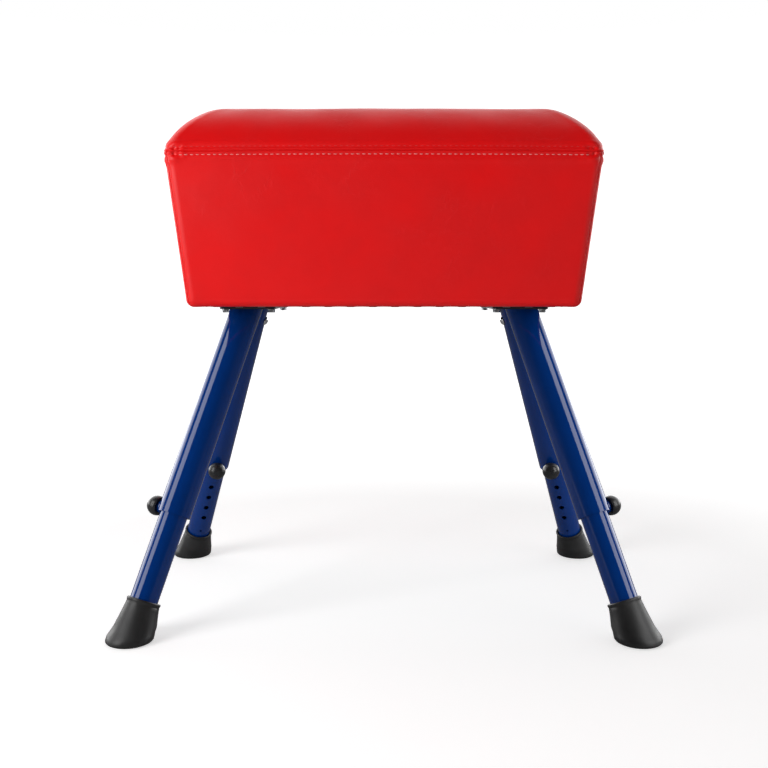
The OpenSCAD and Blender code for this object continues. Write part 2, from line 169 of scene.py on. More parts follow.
def vary_finish(tree, shader, mask, colours, roughness):
    """Lets colour and roughness go from a first value to a second one, as a mask goes from 0 to 1."""
    join(tree, blend_colours(tree, mask, *colours), shader.inputs["Base Color"])
    join(tree, stretch_range(tree, mask, 0.0, 1.0, *roughness), shader.inputs["Roughness"])


# %% [markdown]
# ## Effects that several finishes share
# A pebbled grain and slow mottling turn up in nearly every finish of the buck, and soft creases in
# its leather. Each is a node group with named sockets, built once and placed in a material with its
# own values. The groups put out only masks and heights.

# %% Start a shared effect


def new_effect(name, inputs, outputs):
    """A node group that takes a place and some numbers. Returns it with its two end nodes."""
    group = bpy.data.node_groups.new(name, "ShaderNodeTree")
    group.interface.new_socket("Place", in_out="INPUT", socket_type="NodeSocketVector")
    for socket_name, value in inputs.items():
        socket = group.interface.new_socket(socket_name, in_out="INPUT", socket_type="NodeSocketFloat")
        socket.default_value = value
    for socket_name in outputs:
        group.interface.new_socket(socket_name, in_out="OUTPUT", socket_type="NodeSocketFloat")
    return group, add(group, "NodeGroupInput"), add(group, "NodeGroupOutput")


def use_effect(tree, group, **values):
    """Places a shared effect in a material, on the piece's own coordinates."""
    node = add(tree, "ShaderNodeGroup")
    node.node_tree = group
    join(tree, object_place(tree), node.inputs["Place"])
    for name, value in values.items():
        node.inputs[name.replace("_", " ")].default_value = value
    return node


# %% [markdown]
# ### Grain
# Synthetic leather is embossed with small round cells. A Voronoi texture gives the cells, and a
# noise makes some of them shallower, because a real embossing roll never presses evenly.

# %% Grain
grain, start, end = new_effect("grain", {"Scale": 900.0, "Unevenness": 0.4}, ["Height"])
cells = add(grain, "ShaderNodeTexVoronoi", feature="SMOOTH_F1")
cells.inputs["Smoothness"].default_value = 0.4
patches = add(grain, "ShaderNodeTexNoise", Detail=2.0)
join(grain, start.outputs["Place"], cells.inputs["Vector"])
join(grain, start.outputs["Place"], patches.inputs["Vector"])
join(grain, start.outputs["Scale"], cells.inputs["Scale"])
join(grain, combine(grain, "MULTIPLY", start.outputs["Scale"], 0.12), patches.inputs["Scale"])
rise = combine(grain, "SUBTRACT", 1.0, cells.outputs["Distance"])
uneven = combine(grain, "MULTIPLY", patches.outputs["Fac"], start.outputs["Unevenness"])
join(grain, combine(grain, "ADD", rise, uneven), end.inputs["Height"])
print("grain has", len(grain.nodes), "nodes")

# %% [markdown]
# ### Creases
# Leather that is pulled over foam keeps fine lines. They are the edges of large cells, pushed about
# by a noise so that none is straight and drawn out to one side, and they show only in some patches.

# %% Creases
CREASE_LEAN = math.radians(40)
CREASE_STRETCH = 2.4
CREASED_PATCHES = (0.46, 0.62)
creases, start, end = new_effect("creases", {"Scale": 14.0, "Wander": 0.06, "Width": 0.03}, ["Line"])
wander = add(creases, "ShaderNodeTexNoise", Detail=3.0)
join(creases, start.outputs["Place"], wander.inputs["Vector"])
join(creases, combine(creases, "MULTIPLY", start.outputs["Scale"], 1.7), wander.inputs["Scale"])
push = add(creases, "ShaderNodeVectorMath", operation="SCALE")
join(creases, wander.outputs["Color"], push.inputs[0])
join(creases, start.outputs["Wander"], push.inputs["Scale"])
pushed = add(creases, "ShaderNodeVectorMath", operation="ADD")
join(creases, start.outputs["Place"], pushed.inputs[0])
join(creases, push.outputs[0], pushed.inputs[1])
lean = add(creases, "ShaderNodeMapping", vector_type="TEXTURE")
lean.inputs["Rotation"].default_value = (0, CREASE_LEAN, 0)
lean.inputs["Scale"].default_value = (1.0, 1.0, CREASE_STRETCH)
join(creases, pushed.outputs[0], lean.inputs["Vector"])
web = add(creases, "ShaderNodeTexVoronoi", feature="DISTANCE_TO_EDGE")
join(creases, lean.outputs[0], web.inputs["Vector"])
join(creases, start.outputs["Scale"], web.inputs["Scale"])
line = add(creases, "ShaderNodeMapRange", interpolation_type="SMOOTHSTEP")
join(creases, web.outputs["Distance"], line.inputs[0])
join(creases, start.outputs["Width"], line.inputs[2])
line.inputs[3].default_value = 1.0
line.inputs[4].default_value = 0.0
where = add(creases, "ShaderNodeTexNoise", Scale=9.0, Detail=2.0)
join(creases, start.outputs["Place"], where.inputs["Vector"])
shown = stretch_range(creases, where.outputs["Fac"], *CREASED_PATCHES)
join(creases, combine(creases, "MULTIPLY", line.outputs[0], shown), end.inputs["Line"])
print("creases have", len(creases.nodes), "nodes")

# %% [markdown]
# ### Mottling
# No paint, rubber or leather is one even tone. Mottling is a slow noise with a finer one on it.

# %% Mottling
mottle, start, end = new_effect("mottle", {"Scale": 6.0, "Fineness": 3.0}, ["Mask"])
clouds = add(mottle, "ShaderNodeTexNoise", Roughness=0.55)
join(mottle, start.outputs["Place"], clouds.inputs["Vector"])
join(mottle, start.outputs["Scale"], clouds.inputs["Scale"])
join(mottle, start.outputs["Fineness"], clouds.inputs["Detail"])
join(mottle, stretch_range(mottle, clouds.outputs["Fac"], 0.3, 0.7), end.inputs["Mask"])
print("mottling has", len(mottle.nodes), "nodes")

# %% [markdown]
# ## The leather
# The cover is polyurethane leather: a red film with a soft gloss. Its colour hardly changes, so the
# grain, the creases and a slow change of gloss do the work. Along the creases the colour is painted a
# little paler, a painted highlight for the light the fine lines catch, and all three stand in one height for the
# bump.

# %% Red leather
RED = (0.87, 0.0028, 0.0038)
DEEP_RED = (0.77, 0.0022, 0.0034)
CREASE_HIGHLIGHT_RED = (0.90, 0.030, 0.034)
LEATHER_GLOSS = (0.36, 0.5)
CREASE_HIGHLIGHT_SHARE = 0.09
LEATHER_RELIEF = 0.2 * MM
TONE_RISE, PEBBLE_RISE, LINE_RISE = 2.5, 0.4, 0.6
leather, tree, shader = new_finish("red_leather", Roughness=0.42, Coat_Weight=0.08, Coat_Roughness=0.3)
shader.inputs["Specular IOR Level"].default_value = 0.28
tone = use_effect(tree, mottle, Scale=9.0, Fineness=5.0).outputs["Mask"]
lines = use_effect(tree, creases, Scale=38.0, Wander=0.03, Width=0.035).outputs["Line"]
pebbles = use_effect(tree, grain, Scale=800.0, Unevenness=0.6).outputs["Height"]
join(tree, stretch_range(tree, tone, 0.0, 1.0, *LEATHER_GLOSS), shader.inputs["Roughness"])
body_colour = blend_colours(tree, tone, RED, DEEP_RED)
# The paler colour along the creases is a painted highlight, not a colour of the leather.
painted_crease_highlight = combine(tree, "MULTIPLY", lines, CREASE_HIGHLIGHT_SHARE)
join(tree, blend_colours(tree, painted_crease_highlight, body_colour, CREASE_HIGHLIGHT_RED), shader.inputs["Base Color"])
height = combine(tree, "MULTIPLY", tone, TONE_RISE)
for layer, rise in ((pebbles, PEBBLE_RISE), (lines, LINE_RISE)):
    height = combine(tree, "ADD", height, combine(tree, "MULTIPLY", layer, rise))
add_bump(tree, shader, height, LEATHER_RELIEF)
print(leather.name, "has", len(tree.nodes), "nodes")

# %% [markdown]
# ## The painted tubes
# The legs are powder coated in a deep glossy blue. Powder flows out into a faint orange peel, which
# is what makes a reflection on it wobble. A clear coat over the colour gives the sharp highlight.

# %% Blue enamel
BLUE = (0.0, 0.030, 0.185)
DARK_BLUE = (0.0, 0.026, 0.16)
enamel, tree, shader = new_finish("blue_enamel", Roughness=0.5, Coat_Weight=1.0, Coat_Roughness=0.04)
shader.inputs["Specular IOR Level"].default_value = 0.0
tone = use_effect(tree, mottle, Scale=11.0, Fineness=3.0).outputs["Mask"]
peel = use_effect(tree, grain, Scale=260.0, Unevenness=0.8).outputs["Height"]
vary_finish(tree, shader, tone, (BLUE, DARK_BLUE), (0.28, 0.4))
add_bump(tree, shader, peel, 0.03 * MM, 0.5)
print(enamel.name, "has", len(tree.nodes), "nodes")

# %% [markdown]
# ## Rubber, plastic and metal
# The feet are dull moulded rubber, and the knobs a harder glossy plastic. The plungers' sleeves are
# steel painted black, and the brackets are near-black with a faint blue. Under a lamp that looks much
# like plastic, so one function serves for all of them.

# %% Rubber
SOOT = (0.012, 0.012, 0.0125)
WORN_SOOT = (0.021, 0.021, 0.0215)
rubber, tree, shader = new_finish("foot_rubber", Roughness=0.5)
tone = use_effect(tree, mottle, Scale=40.0, Fineness=5.0).outputs["Mask"]
skin = use_effect(tree, grain, Scale=700.0, Unevenness=0.9).outputs["Height"]
vary_finish(tree, shader, tone, (SOOT, WORN_SOOT), (0.4, 0.56))
add_bump(tree, shader, skin, 0.06 * MM)
print(rubber.name, "has", len(tree.nodes), "nodes")

# %% Plastics and black paint


def moulded_plastic(name, colour, lighter, rough):
    """A hard plastic with a faint flow pattern in its gloss."""
    material, tree, shader = new_finish(name, Roughness=rough)
    tone = use_effect(tree, mottle, Scale=60.0, Fineness=3.0).outputs["Mask"]
    skin = use_effect(tree, grain, Scale=900.0, Unevenness=0.6).outputs["Height"]
    vary_finish(tree, shader, tone, (colour, lighter), (rough - 0.05, rough + 0.08))
    add_bump(tree, shader, skin, 0.02 * MM)
    print(name, "has", len(tree.nodes), "nodes")
    return material


knob_plastic = moulded_plastic("knob_plastic", (0.012, 0.012, 0.013), (0.02, 0.02, 0.021), 0.28)
nylon = moulded_plastic("nylon", (0.06, 0.06, 0.065), (0.09, 0.09, 0.095), 0.45)
black_steel = moulded_plastic("black_steel", (0.01, 0.01, 0.011), (0.018, 0.018, 0.02), 0.36)
bracket_paint = moulded_plastic("bracket_paint", (0.012, 0.014, 0.019), (0.02, 0.023, 0.03), 0.42)

# %% [markdown]
# ### Plated metal
# Bolts are zinc plated, which is grey with a faint crystal pattern, and the leg screws are chromed,
# which is brighter and much smoother. The pattern is in the gloss more than in the colour.

# %% Zinc and chrome


def bare_metal(name, colour, darker, rough, scale):
    """A plated metal: patches of slightly different gloss and tone."""
    material, tree, shader = new_finish(name, Metallic=1.0, Roughness=rough)
    spangle = use_effect(tree, grain, Scale=scale, Unevenness=1.0).outputs["Height"]
    tone = use_effect(tree, mottle, Scale=scale / 6, Fineness=4.0).outputs["Mask"]
    join(tree, blend_colours(tree, tone, colour, darker), shader.inputs["Base Color"])
    gloss = stretch_range(tree, spangle, 0.4, 1.4, rough - 0.04, rough + 0.12)
    join(tree, gloss, shader.inputs["Roughness"])
    add_bump(tree, shader, spangle, 0.01 * MM)
    print(name, "has", len(tree.nodes), "nodes")
    return material


zinc = bare_metal("zinc_steel", (0.60, 0.61, 0.63), (0.45, 0.46, 0.48), 0.3, 400.0)
chrome = bare_metal("chrome_screws", (0.80, 0.80, 0.81), (0.70, 0.70, 0.72), 0.12, 900.0)

# %% [markdown]
# ## Wood, foam, cloth and thread
# Plywood shows a stretched grain on its faces. Foam is a pale open sponge. The cloth under the body
# is a thin black weave, and the thread is a twisted polyester. The pale row's thread is painted lighter than the
# leather, and the twist of every thread in lighter bands, as painted highlights on the stitches.

# %% Plywood
BIRCH = (0.56, 0.37, 0.19)
BIRCH_GRAIN = (0.40, 0.24, 0.11)
plywood, tree, shader = new_finish("plywood", Roughness=0.6)
along = add(tree, "ShaderNodeMapping")
along.inputs["Scale"].default_value = (3.0, 40.0, 40.0)
join(tree, object_place(tree), along.inputs["Vector"])
fibres = add(tree, "ShaderNodeTexNoise", Scale=6.0, Detail=6.0, Distortion=0.6)
join(tree, along.outputs[0], fibres.inputs["Vector"])
figure = stretch_range(tree, fibres.outputs["Fac"], 0.35, 0.65)
join(tree, blend_colours(tree, figure, BIRCH, BIRCH_GRAIN), shader.inputs["Base Color"])
add_bump(tree, shader, figure, 0.1 * MM)
print(plywood.name, "has", len(tree.nodes), "nodes")

# %% Foam
STRAW = (0.80, 0.68, 0.42)
DEEP_STRAW = (0.70, 0.56, 0.32)
foam, tree, shader = new_finish("foam", Roughness=0.9)
pores = use_effect(tree, grain, Scale=900.0, Unevenness=1.0).outputs["Height"]
tone = use_effect(tree, mottle, Scale=12.0, Fineness=5.0).outputs["Mask"]
join(tree, blend_colours(tree, tone, STRAW, DEEP_STRAW), shader.inputs["Base Color"])
add_bump(tree, shader, pores, 0.5 * MM)
print(foam.name, "has", len(tree.nodes), "nodes")

# %% Cloth
BETWEEN_THREADS = (0.006, 0.006, 0.007)
BLACK_THREAD = (0.022, 0.022, 0.024)
cloth_finish, tree, shader = new_finish("bottom_cloth", Roughness=0.9)
shader.inputs["Sheen Weight"].default_value = 0.3
place = object_place(tree)
threads = []
for direction in ("X", "Y"):
    wave = add(tree, "ShaderNodeTexWave", bands_direction=direction, Scale=220.0, Distortion=1.5)
    join(tree, place, wave.inputs["Vector"])
    threads.append(wave.outputs["Fac"])
weave = combine(tree, "MAXIMUM", *threads)
join(tree, blend_colours(tree, weave, BETWEEN_THREADS, BLACK_THREAD), shader.inputs["Base Color"])
add_bump(tree, shader, weave, 0.15 * MM)
print(cloth_finish.name, "has", len(tree.nodes), "nodes")

# %% Thread


def thread_finish(name, colour, lighter):
    """Polyester thread: fine twisted strands, with lighter bands along the twist painted as their highlights."""
    material, tree, shader = new_finish(name, Roughness=0.38)
    twist = add(tree, "ShaderNodeTexWave", bands_direction="DIAGONAL", Scale=500.0, Distortion=2.0)
    join(tree, object_place(tree), twist.inputs["Vector"])
    join(tree, blend_colours(tree, twist.outputs["Fac"], colour, lighter), shader.inputs["Base Color"])
    add_bump(tree, shader, twist.outputs["Fac"], 0.08 * MM)
    print(name, "has", len(tree.nodes), "nodes")
    return material


# The pale thread's light red is partly a painted highlight, for the light its stitches catch.
highlit_pale_thread = thread_finish("highlit_pale_thread", (0.78, 0.16, 0.16), (0.95, 0.40, 0.38))
red_thread = thread_finish("red_thread", (0.70, 0.02, 0.024), (0.85, 0.06, 0.06))

# %% [markdown]
# ### On to the rigid pieces
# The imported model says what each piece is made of, so one loop gives every piece its finish.

# %% Finish the rigid pieces
FINISHES = {
    "red_leather": leather,
    "blue_enamel": enamel,
    "foot_rubber": rubber,
    "knob_plastic": knob_plastic,
    "black_steel": black_steel,
    "zinc_steel": zinc,
    "chrome_screws": chrome,
    "bracket_paint": bracket_paint,
    "plywood": plywood,
    "foam": foam,
    "bottom_cloth": cloth_finish,
    "nylon": nylon,
}
slot_of = {row["node"]: row["material_slot"] for row in frame["record"]["subparts"]}
for node_name, node_object in frame["nodes"].items():
    node_object.data.materials.clear()
    node_object.data.materials.append(FINISHES[slot_of[node_name]])
print("finished", len(slot_of), "rigid pieces in", len(FINISHES), "finishes")

# %% [markdown]
# ## The form of the body
# All the soft pieces follow one form: a box that widens upwards to the crown seam, with round
# upright corners, and a crown that rolls over to a nearly flat top. Its sizes come from the frame.
# Each place on it has a column, which runs round the body, and a row, which runs up it.

# %% Sizes of the body
LOWER_R = 10 * MM
crown_low, crown_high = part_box("crown_cover")
seam_z = crown_low.z
body_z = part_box("front_cover")[0].z
board_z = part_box("base_board")[0].z
half_l, half_w = crown_high.x, crown_high.y
crown_h = crown_high.z - seam_z


def spread_at(node, height):
    """Half length and half width of a node's points within a millimetre of a height."""
    points = np.array([v.co for v in frame["nodes"][node].data.vertices])
    level = points[abs(points[:, 2] - height) < MM]
    return abs(level[:, 0]).max(), abs(level[:, 1]).max()


straight_z = body_z + LOWER_R
low_half_l = spread_at("left_cover", straight_z)[0]
low_half_w = spread_at("front_cover", straight_z)[1]
taper_l = (half_l - low_half_l) / (seam_z - straight_z)
taper_w = (half_w - low_half_w) / (seam_z - straight_z)
base_half_l = low_half_l - taper_l * LOWER_R
base_half_w = low_half_w - taper_w * LOWER_R
print("half sizes at the seam:", round(half_l, 4), round(half_w, 4))
print("half sizes at the underside:", round(base_half_l, 4), round(base_half_w, 4))

# %% [markdown]
# ### Round the body
# The outline at any height is a rectangle with round corners. Each of its four sides runs from the
# middle of one corner to the middle of the next, anticlockwise from the front. A place on a side
# goes from -1 to 1.

# %% Outline of the body
CORNER_R = 16 * MM
SIDES = ("front", "right", "rear", "left")
ALONG = np.array([(1, 0), (0, 1), (-1, 0), (0, -1)], float)
OUT = np.array([(0, -1), (1, 0), (0, 1), (-1, 0)], float)


def half_side(side, a, b, r):
    """How far it is along the outline from the middle of a side to the middle of its corner."""
    return (a if side % 2 == 0 else b) - r + r * math.pi / 4


def outline(side, place, a, b, r):
    """Points and outward directions on a rounded rectangle of half sizes a and b."""
    own, other = (a, b) if side % 2 == 0 else (b, a)
    reach = place * half_side(side, a, b, r)
    straight = own - r
    turn = np.clip((abs(reach) - straight) / r, 0, math.pi / 4) * np.sign(reach)
    along = np.clip(reach, -straight, straight) + r * np.sin(turn)
    out = other - r + r * np.cos(turn)
    points = along[..., None] * ALONG[side] + out[..., None] * OUT[side]
    facing = np.sin(turn)[..., None] * ALONG[side] + np.cos(turn)[..., None] * OUT[side]
    return points, facing


print("the corner takes", round(CORNER_R * math.pi / 2 / MM, 1), "mm of the leather's width")

# %% [markdown]
# ### Spacing
# Small shapes such as a rolled edge need points close together, and a plain face doesn't. Places are
# therefore spaced finely near a seam and then wider and wider.

# %% Spacing and bumps
WIDENING = 0.12


def graded(first, last, fine, coarse, hold):
    """Places from first to last: a fine step apart for a while, and then wider and wider."""
    places = [first]
    while places[-1] < last:
        beyond = max(places[-1] - first - hold, 0)
        places.append(places[-1] + min(fine + WIDENING * beyond, coarse))
    places = np.array(places)
    return first + (places - first) * (last - first) / (places[-1] - first)


def bell(x, centre, width):
    """A smooth bump of height 1."""
    return np.exp(-(((x - centre) / width) ** 2))


def eased(share):
    """A share from 0 to 1 that starts and ends gently."""
    share = np.clip(share, 0, 1)
    return share**2 * (3 - 2 * share)


# %% [markdown]
# ### A sewn edge
# Where two leathers meet, each is folded in and rolls over a small radius, so the seam is a dark
# valley between two rounded lips. The same edge is used at the crown seam and at the corner seams.

# %% Rolled edge
SEAM_GAP = 0.3 * MM
ROLL_R = 1.6 * MM
LIP = 4 * MM
roll_turn = np.linspace(0, math.pi / 2, 5)
roll_along = np.concatenate([[SEAM_GAP, SEAM_GAP], SEAM_GAP + ROLL_R * (1 - np.cos(roll_turn))])
roll_out = np.concatenate([[-LIP, -LIP / 2 - ROLL_R / 2], ROLL_R * (np.sin(roll_turn) - 1)])
ROLL_END = roll_along[-1]
print("an edge rolls over", round(ROLL_END / MM, 2), "mm from the seam")

# %% [markdown]
# ### A sheet of quads
# A grid primitive has its points in rows and columns, so its points can be laid over the form row
# by row. Where the grid comes round to its own start, the doubles are merged.

# %% Sheets


def deselect():
    """Leaves nothing selected, so that an operator acts only on what comes next."""
    bpy.ops.object.select_all(action="DESELECT")


def lay_sheet(name, points):
    """A grid primitive whose rows and columns of points lie at the given places."""
    rows, columns = points.shape[:2]
    deselect()
    bpy.ops.mesh.primitive_grid_add(x_subdivisions=columns - 1, y_subdivisions=rows - 1, size=1)
    sheet = bpy.context.object
    sheet.name = name
    sheet.data.vertices.foreach_set("co", points.astype(np.float32).ravel())
    sheet.data.update()
    bpy.ops.object.mode_set(mode="EDIT")
    bpy.ops.mesh.select_all(action="SELECT")
    bpy.ops.mesh.remove_doubles(threshold=0.01 * MM)
    bpy.ops.object.mode_set(mode="OBJECT")
    bpy.ops.object.shade_smooth()
    return sheet


def facing_of(points):
    """The outward direction at each point of a grid, from its neighbours."""
    across = np.gradient(points, axis=1)
    up = np.gradient(points, axis=0)
    facing = np.cross(across, up)
    return facing / np.maximum(np.linalg.norm(facing, axis=2, keepdims=True), 1e-12)


def thicken(piece, thickness):
    """Gives a skin its thickness, inwards, and applies it."""
    solid = piece.modifiers.new("thickness", "SOLIDIFY")
    solid.thickness = thickness
    solid.offset = -1
    bpy.context.view_layer.objects.active = piece
    bpy.ops.object.modifier_apply(modifier=solid.name)


# %% [markdown]
# ### Blown up like a cushion
# Stretched leather swells between its seams, because the foam under it pushes out. A bump could be
# added by formula, but a cloth simulation finds the true shape: the edges are pinned, a little
# pressure blows the sheet up, and twenty frames let it settle. How far each point may go is capped.

# %% Swell a coarse sheet
CLOTH_FRAMES = 20
PRESSURE = 4.0
LEATHER_CLOTH = {
    "quality": 6,
    "mass": 0.4,
    "tension_stiffness": 40,
    "compression_stiffness": 40,
    "shear_stiffness": 20,
    "bending_stiffness": 4,
    "use_pressure": True,
    "uniform_pressure_force": PRESSURE,
}


def blow_up(sheet, pinned):
    """Runs the cloth on a sheet whose pinned points stay, and applies the result."""
    group = sheet.vertex_groups.new(name="sewn")
    group.add(pinned, 1.0, "REPLACE")
    cloth = sheet.modifiers.new("cloth", "CLOTH")
    for setting, value in LEATHER_CLOTH.items():
        setattr(cloth.settings, setting, value)
    cloth.settings.vertex_group_mass = group.name
    cloth.settings.effector_weights.gravity = 0
    cloth.point_cache.frame_start = 1
    cloth.point_cache.frame_end = CLOTH_FRAMES
    for number in range(1, CLOTH_FRAMES + 1):
        scene.frame_set(number)
    bpy.context.view_layer.objects.active = sheet
    bpy.ops.object.modifier_apply(modifier=cloth.name)


def points_of(piece):
    """The places of a piece's vertices."""
    return np.array([v.co for v in piece.data.vertices])


def vertex_grid(vertices, points):
    """Which vertex lies at each point of a grid, now that doubles are merged."""
    finder = kdtree.KDTree(len(vertices))
    for index, place in enumerate(vertices):
        finder.insert(place, index)
    finder.balance()
    return np.array([[finder.find(place)[1] for place in row] for row in points])


# %% [markdown]
# ### From the swell to the leather
# The cloth leaves short wrinkles, which real leather over firm foam doesn't have. They are ironed
# out by averaging each point's movement with its neighbours'. What is left is then carried from the
# coarse sheet to the fine one by smooth curves through the coarse rows and columns.

# %% Iron the swell and carry it over
IRONING = 14


def ironed(moved, pinned):
    """The same movement with its short wrinkles taken out, still held at the pinned points."""
    for _ in range(IRONING):
        rows = np.concatenate([moved[:1], moved, moved[-1:]])
        columns = np.concatenate([moved[:, :1], moved, moved[:, -1:]], axis=1)
        moved = 0.25 * (rows[:-2] + rows[2:] + columns[:, :-2] + columns[:, 2:])
        moved[pinned] = 0
    return moved


def swell(name, points, pinned, cap):
    """How far each point of a coarse sheet moves when it is blown up with some points pinned."""
    sheet = lay_sheet(name, points)
    before = points_of(sheet)
    vertex_of = vertex_grid(before, points)
    blow_up(sheet, [int(v) for v in np.unique(vertex_of[pinned])])
    moved = points_of(sheet) - before
    bpy.data.objects.remove(sheet)
    scene.frame_set(1)
    length = np.linalg.norm(moved, axis=1, keepdims=True)
    moved *= np.minimum(1, cap / np.maximum(length, 1e-9))
    print(name, "swells by up to", round(float(np.linalg.norm(moved, axis=1).max()) / MM, 2), "mm")
    return ironed(moved[vertex_of], pinned)


def resample(values, known, wanted):
    """Values along the first axis, read at other places by a smooth curve through them."""
    slope = np.gradient(values, known, axis=0)
    index = np.clip(np.searchsorted(known, wanted) - 1, 0, len(known) - 2)
    step = (known[index + 1] - known[index]).reshape(-1, *[1] * (values.ndim - 1))
    t = ((wanted - known[index]) / (known[index + 1] - known[index])).reshape(step.shape)
    t = np.clip(t, 0, 1)
    start_part = (2 * t**3 - 3 * t**2 + 1) * values[index] + (t**3 - 2 * t**2 + t) * step * slope[index]
    end_part = (3 * t**2 - 2 * t**3) * values[index + 1] + (t**3 - t**2) * step * slope[index + 1]
    return start_part + end_part


def lay_swell(values, rows_known, columns_known, rows_wanted, columns_wanted):
    """Carries a swell from a coarse sheet's rows and columns to a fine one's."""
    tall = resample(values, rows_known, rows_wanted)
    wide = resample(tall.transpose(1, 0, 2), columns_known, columns_wanted)
    return wide.transpose(1, 0, 2)


# %% [markdown]
# ## The side covers
# Each side is one panel of leather. From the crown seam it runs down the foam, rolls under the lower
# edge and ends on the underside of the base board, where it is stapled. Its upright edges are the
# corner seams. A panel could be one flat face with a bump map, but then its edges would be sharp and
# the seams painted on, so it is laid as rows of points whose profile is the real one.

# %% Profile of a side panel
LEATHER_T = 1.1 * MM
UNDER_Z = board_z - LEATHER_T
TURN_UNDER = 34 * MM
ROUND_Z = UNDER_Z + LOWER_R
FACE_TOP = seam_z - ROLL_END


def panel_rows(fine, coarse):
    """Rows of a side panel from its stapled end up to the seam: height, inset and rolled edge."""
    under = np.linspace(TURN_UNDER, LOWER_R, 8)[:-1]
    turn = np.linspace(0, math.pi / 2, 9)[:-1]
    face = graded(0, FACE_TOP - ROUND_Z, fine, coarse, hold=9 * MM)[::-1]
    heights = np.concatenate([
        np.full(len(under), UNDER_Z),
        UNDER_Z + LOWER_R * (1 - np.cos(turn)),
        FACE_TOP - face,
        seam_z - roll_along[::-1][1:],
    ])
    level = np.zeros(len(face) + len(roll_out) - 1)
    inset = np.concatenate([under, LOWER_R * (1 - np.sin(turn)), level])
    rolled = np.concatenate([np.zeros(len(under) + len(turn) + len(face)), roll_out[::-1][1:]])
    return heights, inset, rolled


def side_form(side, place, heights, inset):
    """The plain form of a side: points and outward directions for rows and columns."""
    share = ((heights - body_z) / (seam_z - body_z))[:, None]
    a = base_half_l + (half_l - base_half_l) * share - inset[:, None]
    b = base_half_w + (half_w - base_half_w) * share - inset[:, None]
    r = np.maximum(CORNER_R - inset[:, None], 3 * MM)
    flat, facing = outline(side, place[None, :], a, b, r)
    height = np.broadcast_to(heights[:, None, None], (*flat.shape[:2], 1))
    level = np.zeros_like(height)
    return np.concatenate([flat, height], axis=2), np.concatenate([facing, level], axis=2)


print("a panel is", round((seam_z - ROUND_Z) / MM), "mm tall above its lower roll")

# %% [markdown]
# ### Tucks at the corners
# Where three panels meet, there is more leather than the corner needs. It gathers in a dent just
# beside each corner and a shallower one after it, with a rim and a small bulge round them, and fine
# pleats run round the corner itself. Each is a smooth bump at its own place, added or taken away.

# %% Tucks
TUCK_PLACE = 12.4 * MM
PLEAT_PITCH = 4.4 * MM
TUCKS = {
    "dent": {"height": -1.25, "beyond": 0.0, "width": 2.6, "below": 2.5, "tall": 3.6},
    "second dent": {"height": -0.6, "beyond": 7.0, "width": 2.2, "below": 3.0, "tall": 3.0},
    "rim": {"height": 0.45, "beyond": 13.0, "width": 4.0, "below": 4.0, "tall": 6.0},
    "bulge": {"height": 0.5, "beyond": 1.0, "width": 7.0, "below": 11.0, "tall": 4.2},
}


def gathers(from_corner, from_seam, depth):
    """The dents, the bulge and the pleats beside a corner, as a height over the form."""
    relief = 0
    for tuck in TUCKS.values():
        across = bell(from_corner, TUCK_PLACE + tuck["beyond"] * MM, tuck["width"] * MM)
        relief += tuck["height"] * depth * across * bell(from_seam, tuck["below"] * MM, tuck["tall"] * MM)
    pleats = 0.3 * MM * np.sin(2 * math.pi * from_corner / PLEAT_PITCH)
    return relief + pleats * bell(from_corner, 0, 9 * MM) * bell(from_seam, 0, 6 * MM)


# %% [markdown]
# ### Relief along a seam
# Beside every seam the leather has a small lip, then the groove that the stitches pull, then a soft
# swell. The whole seam bows down a little towards the corners, where the leather is pulled hardest,
# and the foam behind it was laid by hand, so no face is quite even. Each slow wave has its height in
# millimetres, its length and its tallness in metres, and where it starts.

# %% Relief of sewn leather
LIP_RISE = 0.6 * MM
GROOVE_DEPTH = 0.55 * MM
NEEDLE_DEPTH = 0.35 * MM
SWELL_RISE = 0.7 * MM
SEAM_BOW = 1.4 * MM
CORNER_SAG = 1.1 * MM
WAVES = ((0.28, 0.23, 0.31, 0.7), (0.16, 0.11, -0.17, 2.1), (0.07, 0.067, 0.083, 4.0))


def seam_relief(from_seam, stitch_at, pulled):
    """The lip, the stitched groove and the soft swell behind it. Pulled is 1 at a needle hole."""
    lip = LIP_RISE * bell(from_seam, 2.2 * MM, 1.0 * MM)
    groove = (GROOVE_DEPTH + NEEDLE_DEPTH * pulled) * bell(from_seam, stitch_at, 1.15 * MM)
    return lip - groove + SWELL_RISE * bell(from_seam, stitch_at + 7 * MM, 5 * MM)


def sag(points):
    """How far the seam bows down towards the corners, and the lower corners hang."""
    x, y, z = points[..., 0], points[..., 1], points[..., 2]
    bow = SEAM_BOW * (x / half_l) ** 2 * bell(z, seam_z, 45 * MM)
    to_corner = np.hypot(abs(x) - base_half_l, abs(y) - base_half_w)
    return -bow - CORNER_SAG * bell(to_corner, 0, 22 * MM) * bell(z, body_z, 14 * MM)


def slow_waves(x, z):
    """The unevenness of hand-laid foam, a few tenths of a millimetre."""
    height = 0
    for rise, length, tall, start in WAVES:
        height = height + rise * MM * np.sin(2 * math.pi * (x / length + z / tall) + start)
    return height


# %% [markdown]
# ### Lay the four panels
# A panel's columns are closest together at its corner seams and a quarter of a stitch apart between
# them, so that each needle hole can pull the leather in.

# %% Columns and relief of a side
PITCH = 7.9 * MM
STITCH_DROP = 5.6 * MM
CORNER_STITCH = 2.9 * MM
CORNER_GROOVE = 0.5 * MM
TUCK_DEPTH = {"front": (2.4, 2.7), "right": (2.0, 1.8), "rear": (2.3, 2.1), "left": (1.9, 2.2)}


def side_columns(side, step):
    """Columns of a side from corner seam to corner seam: place, distance to the seam, rolled edge."""
    half = half_side(side, half_l, half_w, CORNER_R)
    from_corner = np.concatenate([roll_along[:-1], graded(ROLL_END, half, 0.7 * MM, step, hold=5 * MM)])
    rolled = np.concatenate([roll_out[:-1], np.zeros(len(from_corner) - len(roll_out) + 1)])
    place = 1 - from_corner / half
    mirror = slice(-2, None, -1)
    return (
        np.concatenate([-place, place[mirror]]),
        np.concatenate([from_corner, from_corner[mirror]]),
        np.concatenate([rolled, rolled[mirror]]),
        half,
    )


